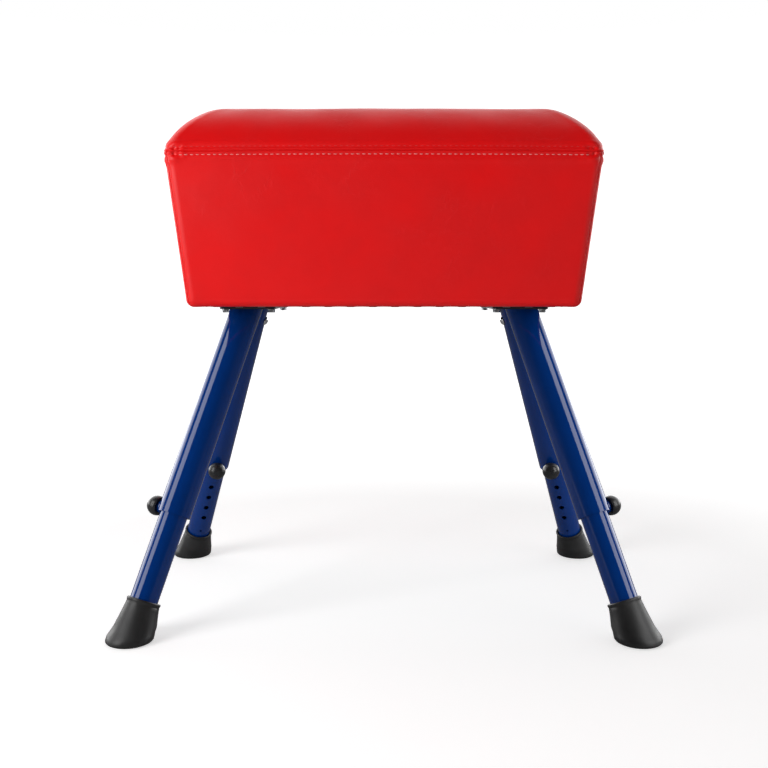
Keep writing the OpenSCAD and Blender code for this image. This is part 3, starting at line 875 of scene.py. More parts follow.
def side_relief(side, place, half, corner, heights):
    """The height of one side's stitching, tucks and waves over its form."""
    from_seam = (seam_z - heights)[:, None]
    arc = place * half
    hole = 0.5 + 0.5 * np.cos(2 * math.pi * (arc / PITCH + 0.5))
    away_from_corner = np.clip((corner - ROLL_END) / (4 * MM), 0, 1)
    left_tuck, right_tuck = (depth * MM for depth in TUCK_DEPTH[SIDES[side]])
    depth = np.where(place < 0, left_tuck, right_tuck)[None, :]
    height = seam_relief(from_seam, STITCH_DROP, hole[None, :]) * away_from_corner
    height += gathers(corner, from_seam, depth)
    height -= CORNER_GROOVE * bell(corner, CORNER_STITCH, 0.8 * MM) * np.clip(from_seam / (9 * MM), 0, 1)
    waves = slow_waves(arc[None, :] + side * 0.4, heights[:, None])
    height += waves * np.clip(corner / (40 * MM), 0, 1)
    return height * np.clip((heights - UNDER_Z - LOWER_R * 0.6) / (20 * MM), 0, 1)[:, None]


# %% [markdown]
# ### Sew a side
# The swell of the plain side is found first and laid onto the fine rows and columns. The relief is
# added along the outward direction, and the skin then gets its thickness inwards. Its points are
# kept, because the stitches follow them later.

# %% Side covers
SIDE_CAP = 2.0 * MM
FOLDED_SHARE = 0.3
COARSE_ROWS = 38
sewn_panels = {}


def side_swell(side, half, heights, place):
    """How far the face of a side swells, at the given rows and columns."""
    coarse_place = np.linspace(-1, 1, int(half / (5 * MM)))
    coarse_heights = np.linspace(ROUND_Z, seam_z, COARSE_ROWS)
    coarse, _ = side_form(side, coarse_place, coarse_heights, np.zeros(COARSE_ROWS))
    pinned = np.ones(coarse.shape[:2], bool)
    pinned[1:-2, 2:-2] = False
    moved = swell(SIDES[side] + "_swell", coarse, pinned, SIDE_CAP)
    return lay_swell(moved, coarse_heights, coarse_place, heights, place)


def side_surface(side):
    """Points of one side cover's outer skin, with the facts that the stitches need."""
    place, from_corner, corner_roll, half = side_columns(side, PITCH / 4)
    heights, inset, rolled = panel_rows(fine=0.7 * MM, coarse=5 * MM)
    points, facing = side_form(side, place, heights, inset)
    on_face = ((heights > ROUND_Z) & (rolled == 0))[:, None, None]
    points += np.where(on_face, side_swell(side, half, heights, place), 0)
    height = side_relief(side, place, half, from_corner[None, :], heights)
    height *= np.where(rolled < 0, FOLDED_SHARE, 1)[:, None]
    corner_fold = corner_roll[None, :] * np.clip(1 - inset / (6 * MM), 0, 1)[:, None]
    total = height + rolled[:, None] + corner_fold
    points = points + total[..., None] * facing
    points[..., 2] += sag(points)
    return {"points": points, "from_seam": seam_z - heights, "from_corner": from_corner, "heights": heights}


def sew_cover(name, points, node):
    """A leather cover through rows of points, in the place of a plain one."""
    cover = lay_sheet(name, points)
    cover.data.materials.append(leather)
    thicken(cover, LEATHER_T)
    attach(cover, "buck_body")
    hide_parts(node)
    print(cover.name, len(cover.data.polygons), "faces")


for number, name in enumerate(SIDES):
    sewn_panels[name] = side_surface(number)
    sew_cover(name + "_leather", sewn_panels[name]["points"], name + "_cover")

# %% [markdown]
# ## The crown
# The crown is one thick foam slab under one piece of leather. Its edge rolls over from the seam like
# a cushion and its top is nearly flat. The rings run all the way round and close on a short line in
# the middle, so there is no pole to pinch.

# %% Profile of the crown
CROWN_EDGE = 61 * MM
CROWN_FALL = 8 * MM
ROLL_POWER = 1.46


def crown_profile():
    """Inset from the seam and height over it, with the distance up the leather to each."""
    t = np.linspace(0, 1, 160) ** 1.5
    u = np.linspace(0, 1, 80)[1:]
    rise = (1 - (1 - t) ** ROLL_POWER) ** (1 / ROLL_POWER)
    inset = np.concatenate([CROWN_EDGE * t, CROWN_EDGE + (half_w - CROWN_EDGE) * u])
    height = np.concatenate([(crown_h - CROWN_FALL) * rise, crown_h - CROWN_FALL * (1 - u) ** 2])
    way = np.concatenate([[0], np.cumsum(np.hypot(np.diff(inset), np.diff(height)))])
    return inset, height, way


profile_inset, profile_height, profile_way = crown_profile()
crown_reach = profile_way[-1]
print("the leather runs", round(crown_reach, 3), "m from the seam to the middle of the crown")

# %% [markdown]
# ### Rings of the crown
# A ring runs round the crown at one distance up the leather from the seam. Its corners get rounder
# further in, slowly over the roll and quickly over the top, so that no ridge runs in from a corner.

# %% Rings round the crown
CORNER_GROWTH = 0.06
HIP_GROWTH = 0.6
SMALLEST_R = 0.001 * MM


def crown_form(side, place, way):
    """The plain form of the crown over one side, for rows at distances up from the seam."""
    inset = np.interp(way, profile_way, profile_inset)[:, None]
    height = seam_z + np.interp(way, profile_way, profile_height)
    r = CORNER_R + CORNER_GROWTH * inset + HIP_GROWTH * np.maximum(inset - CROWN_EDGE, 0)
    r = np.minimum(r, np.maximum(half_w - inset, SMALLEST_R))
    flat, _ = outline(side, place[None, :], half_l - inset, half_w - inset, r)
    heights = np.broadcast_to(height[:, None, None], (*flat.shape[:2], 1))
    return np.concatenate([flat, heights], axis=2)


def crown_ring(way, step, fine):
    """Points all round the crown, with each column's distance to its corner."""
    points, corner = [], []
    for side in range(len(SIDES)):
        half = half_side(side, half_l, half_w, CORNER_R)
        from_corner = graded(0, half, fine, step, hold=20 * MM)
        place = 1 - from_corner / half
        place = np.concatenate([-place, place[-2:0:-1]])
        points.append(crown_form(side, place, way))
        corner.append((1 - abs(place)) * half)
    points = np.concatenate([*points, points[0][:, :1]], axis=1)
    return points, np.concatenate([*corner, corner[0][:1]])


def ring_share(points):
    """How far round the ring each column is, from 0 to 1, along the seam."""
    steps = np.linalg.norm(np.diff(points[0, :, :2], axis=0), axis=1)
    return np.concatenate([[0], np.cumsum(steps)]) / steps.sum()


way_up = graded(ROLL_END, crown_reach, fine=0.8 * MM, coarse=5 * MM, hold=8 * MM)
crown_way = np.concatenate([roll_along[:-1], way_up])
crown_points, crown_corner = crown_ring(crown_way, step=4 * MM, fine=1.3 * MM)
print("the crown has", crown_points.shape[0], "rings of", crown_points.shape[1], "points")

# %% [markdown]
# ### Swell the crown
# The swell is found on a coarse ring of quads and laid onto the fine one. Towards the middle of the
# top all points are brought to the same movement, because there the rings close on each other and a
# small difference would show as a pinch.

# %% Swell of the crown
CROWN_CAP = 2.5 * MM
TOP_ZONE = 80 * MM
coarse_way = np.linspace(0, crown_reach, 30)
coarse_points, _ = crown_ring(coarse_way, step=9 * MM, fine=3 * MM)
coarse_pins = np.zeros(coarse_points.shape[:2], bool)
coarse_pins[:2] = True
crown_swell = swell("crown_swell", coarse_points, coarse_pins, CROWN_CAP)
shares = (ring_share(coarse_points), ring_share(crown_points))
crown_moved = lay_swell(crown_swell, coarse_way, shares[0], crown_way, shares[1])
top_share = eased(1 - (crown_reach - crown_way) / TOP_ZONE)[:, None]
crown_moved += top_share[..., None] * (crown_moved[-1].mean(axis=0) - crown_moved)

# %% [markdown]
# ### Sew the crown
# The seam's lip, a shallow second fold and the upper row of stitches follow the leather up from the
# seam. The tucks at the corners are the ones of the sides, a little shallower.

# %% Crown cover
UPPER_STITCH = 6.0 * MM
SECOND_FOLD = 3.9 * MM
SECOND_DEPTH = 0.35 * MM
CROWN_TUCK = 2.2 * MM
SEAM_SHARE, TUCK_SHARE = 0.8, 0.9
crown_rolled = np.concatenate([roll_out[:-1], np.zeros(len(crown_way) - len(roll_out) + 1)])
crown_facing = facing_of(crown_points)
crown_facing[:, -1] = crown_facing[:, 0] = (crown_facing[:, -1] + crown_facing[:, 0]) / 2


def crown_relief():
    """The height of the crown's stitching, tucks and waves over its form."""
    from_seam = crown_way[:, None]
    height = seam_relief(from_seam, UPPER_STITCH, 0.0) * SEAM_SHARE
    height = height - SECOND_DEPTH * bell(from_seam, SECOND_FOLD, 0.7 * MM)
    height = height + gathers(crown_corner[None, :], from_seam, CROWN_TUCK) * TUCK_SHARE
    waves = slow_waves(crown_points[..., 0] * 0.8, crown_points[..., 1] + crown_points[..., 2])
    height += waves * np.clip(from_seam / (50 * MM), 0, 1)
    folded = np.where(crown_rolled < 0, FOLDED_SHARE, 1)[:, None]
    return (height * folded + crown_rolled[:, None]) * (1 - top_share)


crown_surface = crown_points + crown_moved + crown_relief()[..., None] * crown_facing
crown_surface[..., 2] += sag(crown_surface)
sew_cover("crown_leather", crown_surface, "crown_cover")

# %% [markdown]
# ## The foam
# The foam follows the leather from the inside. The crown slab has a flat underside, and the side
# foam is a band between the leather and the boards. Neither shows until the cover comes off.

# %% Lay foam
FOAM_GAP = LEATHER_T + 0.5 * MM


def lay_foam(name, points, node):
    """A closed block of foam through a ring of points, in the place of a plain one."""
    block = lay_sheet(name, points)
    block.data.materials.append(foam)
    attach(block, "buck_body")
    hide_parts(node)
    print(block.name, len(block.data.polygons), "faces")


# %% [markdown]
# ### The crown's slab
# The slab needs fewer points than the leather, so only every second ring and every third column are
# kept. Its underside is two more rings, drawn in to the middle at the height of its edge.

# %% Crown foam
UP = np.array([0, 0, 1.0])
SLAB_START = 3 * MM
last_ring, last_column = len(crown_way) - 1, crown_points.shape[1] - 1
foam_rings = np.flatnonzero(crown_way > SLAB_START)[::2]
foam_rings = np.unique(np.append(foam_rings, last_ring))
foam_columns = np.append(np.arange(0, last_column, 3), last_column)
inward = crown_facing * (1 - top_share[..., None]) + UP * top_share[..., None]
slab = (crown_surface - FOAM_GAP * inward)[foam_rings][:, foam_columns]


def flat_ring(shrink):
    """The slab's lowest ring, drawn in towards the line in the middle of its underside."""
    ring = slab[0].copy()
    ring[:, 1] *= shrink
    ring[:, 0] = np.sign(ring[:, 0]) * np.maximum(abs(ring[:, 0]) - (1 - shrink) * half_w, 0)
    return ring


underside = np.array([flat_ring(0.0), flat_ring(0.5)])
lay_foam("crown_foam_slab", np.concatenate([underside, slab]), "crown_foam")

# %% [markdown]
# ### The band round the sides
# The band's section is a closed loop: up behind the leather, over, and down beside the boards. It
# draws back a little under the crown seam, where the tucks press in.

# %% Side foam
BAND_T = 14 * MM
BOARD_GAP = 1.9 * MM
TUCK_ROOM = 3.4 * MM
ROLLED_ROWS = np.array([0.2, 3, 7]) * MM


def foam_band():
    """Rows up the outside of the side foam and down its inside, all round the body."""
    low = UNDER_Z + LEATHER_T
    outer_heights = np.concatenate([
        low + ROLLED_ROWS,
        np.linspace(UNDER_Z + 16 * MM, seam_z - 3 * MM, 16),
    ])
    rounding = np.clip(LOWER_R - (outer_heights - low), 0, LOWER_R)
    outer_inset = LOWER_R - np.sqrt(np.maximum(LOWER_R**2 - rounding**2, 0)) + FOAM_GAP
    outer_inset += TUCK_ROOM * bell(outer_heights, seam_z, 11 * MM)
    heights = np.concatenate([outer_heights, outer_heights[::-1], outer_heights[:1]])
    inner_inset = np.full(len(outer_heights), BAND_T + BOARD_GAP)
    insets = np.concatenate([outer_inset, inner_inset, outer_inset[:1]])
    place = np.linspace(-1, 1, 48)[:-1]
    rings = [side_form(side, place, heights, insets)[0] for side in range(len(SIDES))]
    return np.concatenate([*rings, rings[0][:, :1]], axis=1)


lay_foam("side_foam_band", foam_band(), "side_foam")

# %% [markdown]
# ## Stitches
# A stitch is a short loop of thread that lies on the leather and dives in at both ends. One is
# modelled from a small sphere, with few faces because there are hundreds of copies. The sphere's
# poles are turned to the ends of the thread, and the ends are drawn down.

# %% One stitch
END_DROP = 1.2


def model_stitch():
    """A thread loop one unit long, with its ends pulled down."""
    deselect()
    bpy.ops.mesh.primitive_uv_sphere_add(segments=6, ring_count=6, radius=0.5)
    stitch = bpy.context.object
    bpy.ops.object.mode_set(mode="EDIT")
    bpy.ops.mesh.select_all(action="SELECT")
    bpy.ops.transform.rotate(value=math.pi / 2, orient_axis="Y", center_override=(0, 0, 0))
    bpy.ops.object.mode_set(mode="OBJECT")
    for vertex in stitch.data.vertices:
        vertex.co.z -= END_DROP * vertex.co.x**2
    return stitch


# %% [markdown]
# ### Copies of one shape
# What repeats is modelled once and copied. All the copies of one row are one piece, because nobody
# takes out a single stitch. Each copy gets a matrix with its place, its direction and its size.

# %% Place copies


def scatter(name, template, matrices, finish):
    """One piece made of copies of a template, each placed by its own matrix."""
    shape = np.array([(*v.co, 1.0) for v in template.data.vertices])
    faces = [list(p.vertices) for p in template.data.polygons]
    points = np.concatenate([shape @ np.array(m).T for m in matrices])[:, :3]
    shifted = [[v + k * len(shape) for v in face] for k in range(len(matrices)) for face in faces]
    mesh = bpy.data.meshes.new(name)
    mesh.from_pydata(points.tolist(), [], shifted)
    mesh.materials.append(finish)
    piece = bpy.data.objects.new(name, mesh)
    scene.collection.objects.link(piece)
    for polygon in mesh.polygons:
        polygon.use_smooth = True
    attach(piece, "buck_body")
    print(name, len(matrices), "copies")
    return piece


def placed(centre, along, facing, size):
    """A matrix that puts a unit shape at a point, lengthwise along a direction and standing off."""
    along = along / np.linalg.norm(along)
    across = np.cross(facing, along)
    across /= np.linalg.norm(across)
    up = np.cross(along, across)
    matrix = np.eye(4)
    for column, (axis, length) in enumerate(zip((along, across, up), size)):
        matrix[:3, column] = axis * length
    matrix[:3, 3] = centre
    return matrix


# %% [markdown]
# ### Rows of stitches
# The rows follow the leather that was laid: a pale one under the crown seam, painted pale for the highlights its
# stitches catch, a red one above it, and a red one down each side of every corner seam. The pale row stops short
# of the tucks.

# %% Stitches along a line


def read_along(way, line, at):
    """The point or direction at a distance along a line of them."""
    return np.array([np.interp(at, way, line[:, axis]) for axis in range(3)])


def stitch_row(line, facing, pitch, size, lift):
    """Matrices for stitches a pitch apart along a line of points on the leather."""
    way = np.concatenate([[0], np.cumsum(np.linalg.norm(np.diff(line, axis=0), axis=1))])
    count = int(way[-1] / pitch)
    spare = way[-1] - count * pitch
    matrices = []
    for k in range(count):
        middle = spare / 2 + (k + 0.5) * pitch
        start, end = (read_along(way, line, middle + reach * pitch) for reach in (-0.3, 0.3))
        out = read_along(way, facing, middle)
        matrices.append(placed((start + end) / 2 + lift * out, end - start, out, size))
    return matrices


def nearest(values, wanted):
    """Which value is nearest to the wanted one."""
    return int(np.argmin(abs(values - wanted)))


# %% Sew the rows
STITCH_SIZE = (5.0 * MM, 1.5 * MM, 1.3 * MM)
FINE_SIZE = (4.2 * MM, 0.8 * MM, 0.7 * MM)
UPPER_SIZE = (5.0 * MM, 0.9 * MM, 0.7 * MM)
FINE_PITCH = 6.5 * MM
stitch = model_stitch()
seam_stitches, corner_stitches = [], []
for panel in sewn_panels.values():
    points, from_corner, from_seam = panel["points"], panel["from_corner"], panel["from_seam"]
    facing = facing_of(points)
    row = nearest(from_seam, STITCH_DROP)
    inner = from_corner > TUCK_PLACE + 4 * MM
    seam_stitches += stitch_row(points[row][inner], facing[row][inner], PITCH, STITCH_SIZE, lift=0.25 * MM)
    on_face = (panel["heights"] > UNDER_Z + 4 * MM) & (from_seam > 7 * MM)
    last = len(from_corner) - 1
    for column in (nearest(from_corner, CORNER_STITCH), last - nearest(from_corner[::-1], CORNER_STITCH)):
        line, out = points[on_face, column], facing[on_face, column]
        corner_stitches += stitch_row(line, out, FINE_PITCH, FINE_SIZE, lift=0.1 * MM)
scatter("crown_seam_stitches", stitch, seam_stitches, highlit_pale_thread)
scatter("corner_seam_stitches", stitch, corner_stitches, red_thread)
upper_row = nearest(crown_way, UPPER_STITCH)
upper = stitch_row(crown_surface[upper_row], crown_facing[upper_row], PITCH, UPPER_SIZE, lift=0.05 * MM)
scatter("crown_upper_stitches", stitch, upper, red_thread)
bpy.data.objects.remove(stitch)

# %% [markdown]
# ## The underside
# A black cloth closes the underside and hides the raw edges of the leather. Its hem is folded in
# and held by wire staples. Its edge ripples a little from one staple to the next.

# %% Bottom cloth
CLOTH_T = 0.35 * MM
HEM = 12 * MM
HEM_STEP = 0.12 * MM
RIPPLE = 0.12 * MM
CLOTH_MARGIN = 16 * MM
STAPLE_PITCH = 32 * MM
cloth_half_l = base_half_l - CLOTH_MARGIN
cloth_half_w = base_half_w - CLOTH_MARGIN
cloth_x = np.linspace(-cloth_half_l, cloth_half_l, 120)
cloth_y = np.linspace(cloth_half_w, -cloth_half_w, 64)
grid_x, grid_y = np.meshgrid(cloth_x, cloth_y)
edge_x = cloth_half_l - abs(grid_x)
edge_y = cloth_half_w - abs(grid_y)
edge = np.minimum(edge_x, edge_y)
ripples = np.where(edge_x < edge_y, grid_y, grid_x) / STAPLE_PITCH
ripple = RIPPLE * np.cos(2 * math.pi * ripples) * bell(edge, 0, 14 * MM)
hem_step = -HEM_STEP * np.clip((HEM - edge) / MM, 0, 1)
cloth_top = UNDER_Z - 0.2 * MM + ripple + hem_step
bottom = lay_sheet("bottom_cloth_sheet", np.stack([grid_x, grid_y, cloth_top], axis=2))
bottom.data.materials.append(cloth_finish)
thicken(bottom, CLOTH_T)
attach(bottom, "buck_body")
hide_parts("bottom_cloth")
print("cloth", round(2 * cloth_half_l, 3), "by", round(2 * cloth_half_w, 3), "m")

# %% [markdown]
# ### Staples
# A staple is a bent wire, and only its back shows. It is a bar whose edges are bevelled round, and
# one lies in the middle of the hem for every ripple of the cloth.

# %% Staples


def model_staple():
    """A unit bar with rounded ends, flat on the side that touches the cloth."""
    deselect()
    bpy.ops.mesh.primitive_cube_add(size=1)
    staple = bpy.context.object
    bpy.ops.object.mode_set(mode="EDIT")
    bpy.ops.mesh.select_all(action="SELECT")
    bpy.ops.mesh.bevel(offset=0.16, segments=2, affect="EDGES")
    bpy.ops.object.mode_set(mode="OBJECT")
    return staple


STAPLE_SIZE = (11 * MM, 1.2 * MM, 0.6 * MM)
STAPLE_DROP = 0.75 * MM
DOWN = np.array([0, 0, -1.0])
staple_places = []
for sign in (-1, 1):
    for half, fixed, along in ((cloth_half_l, cloth_half_w, 0), (cloth_half_w, cloth_half_l, 1)):
        count = int(2 * half / STAPLE_PITCH)
        for k in range(count):
            place = np.zeros(3)
            place[along] = (k - (count - 1) / 2) * STAPLE_PITCH
            place[1 - along] = sign * (fixed - HEM / 2)
            place[2] = UNDER_Z - STAPLE_DROP
            staple_places.append(placed(place, np.eye(3)[along], DOWN, STAPLE_SIZE))
staple = model_staple()
scatter("bottom_staples", staple, staple_places, zinc)
bpy.data.objects.remove(staple)

# %% [markdown]
# ## The legs' own frames
# Each leg leans out and back, so its pieces are easiest to model upright and then put into place.
# The frame gives what is needed: the slide joint's axis is the leg's axis, and the sole's mount is
# where it meets the floor.

# %% Frames of the legs
LEGS = ("front_left", "front_right", "rear_left", "rear_right")
joint_of = {joint["name"]: joint for joint in frame["joints"]}
sole_of = {mount["name"]: Vector(mount["pos_m"]) for mount in frame["record"]["mounts"]}
TILT = math.acos(abs(joint_of["front_left_leg_slide"]["axis"][2]))


def upright_frame(leg):
    """The place of a leg on the floor, with x outwards and z up."""
    down = joint_of[leg + "_leg_slide"]["axis"]
    return Matrix.Translation(sole_of[leg + "_sole"]) @ Matrix.Rotation(math.atan2(down[1], down[0]), 4, "Z")


def placed_copy(name, master, matrix, body, slot, *nodes):
    """A copy of a master piece with its own mesh, put in place and standing for CAD nodes."""
    piece = master.copy()
    piece.data = master.data.copy()
    piece.name = name
    piece.data.transform(matrix)
    scene.collection.objects.link(piece)
    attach(piece, body)
    if nodes:
        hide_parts(*nodes)
    return piece


print("the legs lean", round(math.degrees(TILT), 2), "degrees")

# %% [markdown]
# ## Rubber feet
# A foot is moulded rubber: a flat sole with a rounded edge, a bell that leans over to follow the
# tube, and a rim with a soft lip. It starts as a circle. Each ring is extruded from the last, sized,
# and turned a little further, until the rim is square to the tube. The last rings go down inside,
# to the seat of the tube.

# %% Rings of a foot
TUBE_R = 20 * MM
SOLE_R = 33.5 * MM
SOLE_EDGE = 10 * MM
SOLE_BEVEL = 4.5 * MM
SOLE_ROUND = 6 * MM
SOLE_HOLLOW = 1.2 * MM
HOLLOW_R = (20 * MM, 21.5 * MM)
DRAFT = 0.3 * MM
TUBE_PLAY = 0.2 * MM
RIM_R = 24 * MM
RIM_S = (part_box("front_left_foot")[1].z - RIM_R * math.sin(TILT)) / math.cos(TILT)
SEAT_S = 16 * MM
NECK_R = 23.2 * MM
FLARE_POWER = 1.4
OUTER_LIP = ((5.2, 23.3), (3.8, 23.9), (2.4, 24.4), (1.2, 24.4), (0.4, 23.9))
INNER_LIP = ((0, 23.1), (0, 22.2), (0.5, 21.3), (1.6, 20.8), (3.6, 20.6))


def foot_rings():
    """Height on the leg's axis, radius and lean of each ring, from the sole to the tube's seat."""
    flat_r = SOLE_R - SOLE_ROUND
    rings = [(SOLE_HOLLOW, HOLLOW_R[0], 0), (0, HOLLOW_R[1], 0), (0, flat_r, 0)]
    for turn in np.radians((20, 45, 70, 90)):
        rings.append((SOLE_BEVEL * (1 - math.cos(turn)), flat_r + SOLE_ROUND * math.sin(turn), 0))
    rings.append((SOLE_EDGE, SOLE_R - DRAFT, 0))
    rim_z = RIM_S * math.cos(TILT)
    for way in np.linspace(0.05, 0.86, 10):
        flare = NECK_R + (SOLE_R - 2 * DRAFT - NECK_R) * (1 - way) ** FLARE_POWER
        rings.append((SOLE_EDGE + (rim_z - SOLE_EDGE) * way, flare, TILT * way))
    for fall, radius in OUTER_LIP + INNER_LIP:
        rings.append((rim_z - fall * MM, radius * MM, TILT))
    rings.append((SEAT_S * math.cos(TILT), TUBE_R + TUBE_PLAY, TILT))
    return rings


def axis_shift(height):
    """How far a ring's middle stands off the sole's, which stays upright up to its edge."""
    lean = eased((height - 0.5 * SOLE_BEVEL) / (1.7 * SOLE_EDGE))
    return -height * math.tan(TILT) * lean


print("a foot has", len(foot_rings()), "rings")

# %% [markdown]
# ### Extrude a foot
# With no window, each extrusion and each turn is given its middle. The sole's ring is extruded to
# the next height, sized to the next radius and turned by the rest of its lean, and so on up.

# %% Model a foot


def extrude_rings(rings):
    """Carries the selected ring through a list of rings whose middles lie on a leaning axis."""
    height, radius, lean = rings[0]
    at = Vector((axis_shift(height), 0, height))
    for next_height, next_radius, next_lean in rings[1:]:
        centre = Vector((axis_shift(next_height), 0, next_height))
        bpy.ops.mesh.extrude_edges_move(TRANSFORM_OT_translate={"value": centre - at})
        grow = next_radius / radius
        bpy.ops.transform.resize(value=(grow, grow, grow), center_override=centre)
        if next_lean != lean:
            bpy.ops.transform.rotate(value=next_lean - lean, orient_axis="Y", center_override=centre)
        at, radius, lean = centre, next_radius, next_lean


def model_foot():
    """A foot in its leg's upright frame, with the middle of its sole at the origin."""
    rings = foot_rings()
    height, radius, _ = rings[0]
    deselect()
    bpy.ops.mesh.primitive_circle_add(vertices=64, radius=radius, location=(0, 0, height), fill_type="NGON")
    foot = bpy.context.object
    bpy.ops.object.transform_apply(location=True, rotation=False, scale=False)
    bpy.ops.object.mode_set(mode="EDIT")
    bpy.ops.mesh.select_mode(type="EDGE")
    bpy.ops.mesh.select_all(action="SELECT")
    extrude_rings(rings)
    bpy.ops.mesh.edge_face_add()
    bpy.ops.mesh.select_all(action="SELECT")
    bpy.ops.mesh.normals_make_consistent(inside=False)
    bpy.ops.object.mode_set(mode="OBJECT")
    bpy.ops.object.shade_smooth_by_angle(angle=math.radians(50))
    foot.data.materials.append(rubber)
    return foot


foot_master = model_foot()
print("foot", [round(d / MM, 1) for d in foot_master.dimensions], "mm")
for leg in LEGS:
    place = upright_frame(leg)
    placed_copy(leg + "_rubber_foot", foot_master, place, leg + "_leg", "foot_rubber", leg + "_foot")
bpy.data.objects.remove(foot_master)

# %% [markdown]
# ## Stage and light
# The floor is white and runs past the horizon. It takes shadows near the legs and glows white
# further out, where no lamp reaches, and from below it is clear, so that the underside can be seen.
# What the glossy tubes mirror of it is darker, as it would be under a lamp that lights only the buck.

# %% Floor
CHALK = (0.8, 0.8, 0.8)
MIRRORED_CHALK = (0.42, 0.42, 0.42)
FLOOR_SIZE = 60
NEAR, FAR = 0.7, 1.8
NEAR_GLOW, FAR_GLOW = 0.55, 1.0


def to_the_eye(tree, path):
    """1 on a ray from the camera, straight or through something clear."""
    return combine(tree, "MAXIMUM", path.outputs["Is Camera Ray"], path.outputs["Is Transmission Ray"])


deselect()
bpy.ops.mesh.primitive_plane_add(size=FLOOR_SIZE)
floor = bpy.context.object
floor.name = "floor"
floor_finish = bpy.data.materials.new("floor")
floor_finish.use_nodes = True
tree = floor_finish.node_tree
tree.nodes.clear()
path = add(tree, "ShaderNodeLightPath")
chalk = add(tree, "ShaderNodeBsdfDiffuse")
tone = blend_colours(tree, path.outputs["Is Glossy Ray"], CHALK, MIRRORED_CHALK)
join(tree, tone, chalk.inputs["Color"])
distance = add(tree, "ShaderNodeVectorMath", operation="LENGTH")
join(tree, object_place(tree), distance.inputs[0])
brightness = stretch_range(tree, distance.outputs["Value"], NEAR, FAR, NEAR_GLOW, FAR_GLOW)
glow = add(tree, "ShaderNodeEmission")
join(tree, combine(tree, "MULTIPLY", brightness, to_the_eye(tree, path)), glow.inputs["Strength"])
both = add(tree, "ShaderNodeAddShader")
join(tree, chalk.outputs[0], both.inputs[0])
join(tree, glow.outputs[0], both.inputs[1])
pick = add(tree, "ShaderNodeMixShader")
join(tree, add(tree, "ShaderNodeNewGeometry").outputs["Backfacing"], pick.inputs[0])
join(tree, both.outputs[0], pick.inputs[1])
join(tree, add(tree, "ShaderNodeBsdfTransparent").outputs[0], pick.inputs[2])
join(tree, pick.outputs[0], add(tree, "ShaderNodeOutputMaterial").inputs[0])
floor.data.materials.append(floor_finish)
print("floor finish has", len(tree.nodes), "nodes")

# %% [markdown]
# ### World
# The room is white to the eye. Most of its light comes from a low ring round the camera, which
# leaves the camera's own direction dark. A tall white backdrop stands behind the buck. Rough and
# glossy surfaces mirror that backdrop, and pale sides give the tubes their rim lines.

# %% What lights the buck
AMBIENT = 0.1
RING_LIGHT = 3.15
world = bpy.data.worlds.new("studio")
scene.world = world
world.use_nodes = True
tree = world.node_tree
tree.nodes.clear()
heading = add(tree, "ShaderNodeSeparateXYZ")
join(tree, add(tree, "ShaderNodeTexCoord").outputs["Generated"], heading.inputs[0])
sideways, ahead, upwards = heading.outputs
ring = stretch_range(tree, ahead, 0.0, -0.3, 0.0, RING_LIGHT)
centre = stretch_range(tree, ahead, -0.7, -0.86, 1.0, 0.0)
low_part = stretch_range(tree, upwards, 0.05, 0.5, 1.0, 0.0)
from_front = combine(tree, "MULTIPLY", combine(tree, "MULTIPLY", ring, centre), low_part)
fading = stretch_range(tree, upwards, 0.15, 0.5, 1.1, 0.45)
zenith = stretch_range(tree, upwards, 0.85, 0.98, 1.0, 0.2)
behind = stretch_range(tree, ahead, 0.0, 0.3, 0.0, 1.0)
backdrop = combine(tree, "MULTIPLY", combine(tree, "MULTIPLY", fading, zenith), behind)
lighting = combine(tree, "ADD", combine(tree, "ADD", from_front, AMBIENT), backdrop)

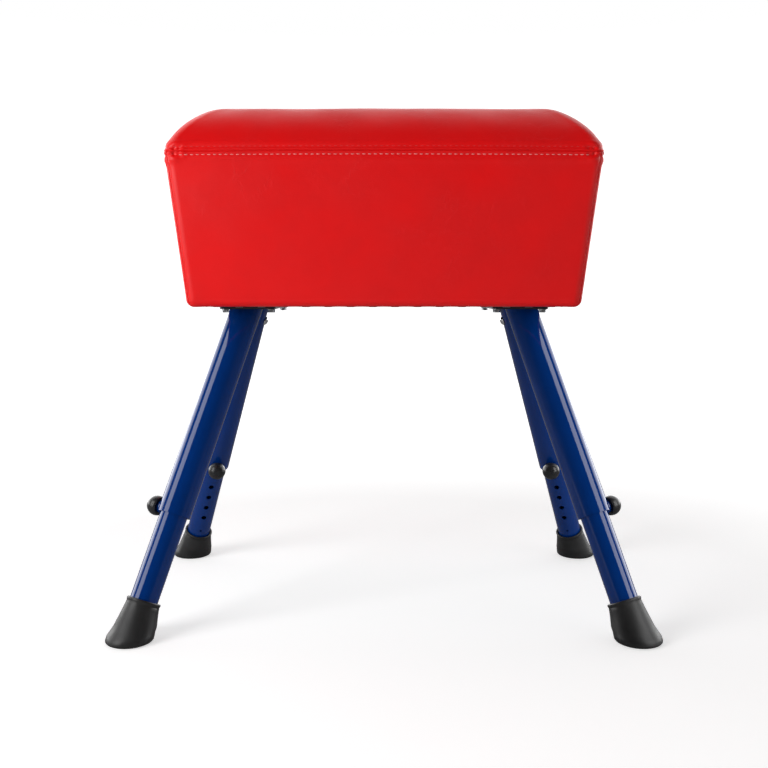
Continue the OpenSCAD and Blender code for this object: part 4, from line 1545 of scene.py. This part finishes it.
# %% What the buck mirrors
BACKDROP_GAIN = 4.0
sides = stretch_range(tree, combine(tree, "ABSOLUTE", sideways, 0.0), 0.75, 0.98, 0.03, 0.1)
mirrored = combine(tree, "MAXIMUM", combine(tree, "MULTIPLY", backdrop, BACKDROP_GAIN), sides)
path = add(tree, "ShaderNodeLightPath")
shares = add(tree, "ShaderNodeMix", data_type="FLOAT")
join(tree, path.outputs["Is Glossy Ray"], shares.inputs["Factor"])
join(tree, lighting, shares.inputs[2])
join(tree, mirrored, shares.inputs[3])
back = add(tree, "ShaderNodeBackground", Color=(1, 1, 1, 1))
join(tree, combine(tree, "MAXIMUM", shares.outputs[0], to_the_eye(tree, path)), back.inputs["Strength"])
join(tree, back.outputs[0], add(tree, "ShaderNodeOutputWorld").inputs[0])
print("world has", len(tree.nodes), "nodes")

# %% [markdown]
# ### Softboxes
# A softbox low on the left lights the body, the brackets and the floor, and throws the shadows to the
# right. A tall one on each side lights only the two legs on its own side, so the pale streak down
# each leg lies on its outer side.

# %% Softboxes
AIM = (0, 0, 0.45)
KEY_SIZE = (1.1, 1.1)
KEY_RADIANCE = 7.0
STRIP_SIZE = (1.3, 2.2)
STRIP_RADIANCE = 4.0


def softbox(name, place, size, radiance, lit):
    """A rectangular area lamp of a given brightness that lights only some pieces."""
    lamp = bpy.data.lights.new(name, "AREA")
    lamp.shape = "RECTANGLE"
    lamp.size, lamp.size_y = size
    lamp.energy = radiance * math.pi * size[0] * size[1]
    holder = bpy.data.objects.new(name, lamp)
    holder.location = place
    holder.rotation_euler = (Vector(AIM) - Vector(place)).to_track_quat("-Z", "Y").to_euler()
    holder.visible_camera = False
    scene.collection.objects.link(holder)
    group = bpy.data.collections.new(name + "_lights")
    for piece in lit:
        group.objects.link(piece)
    holder.light_linking.receiver_collection = group
    print(name, "lights", len(lit), "pieces")


meshes = [piece for piece in scene.objects if piece.type == "MESH"]
left_legs = [piece for piece in meshes if "_left_" in piece.name]
right_legs = [piece for piece in meshes if "_right_" in piece.name]
others = [piece for piece in meshes if piece not in left_legs and piece not in right_legs]
softbox("key", (-1.7, -1.3, 1.0), KEY_SIZE, KEY_RADIANCE, others)
softbox("left_strip", (-1.9, -1.25, 1.3), STRIP_SIZE, STRIP_RADIANCE, left_legs)
softbox("right_strip", (1.9, -1.25, 1.3), STRIP_SIZE, STRIP_RADIANCE, right_legs)

# %% [markdown]
# ## Finish
# The colours go out through the Standard view transform.

# %% Finish
scene.view_settings.view_transform = "Standard"
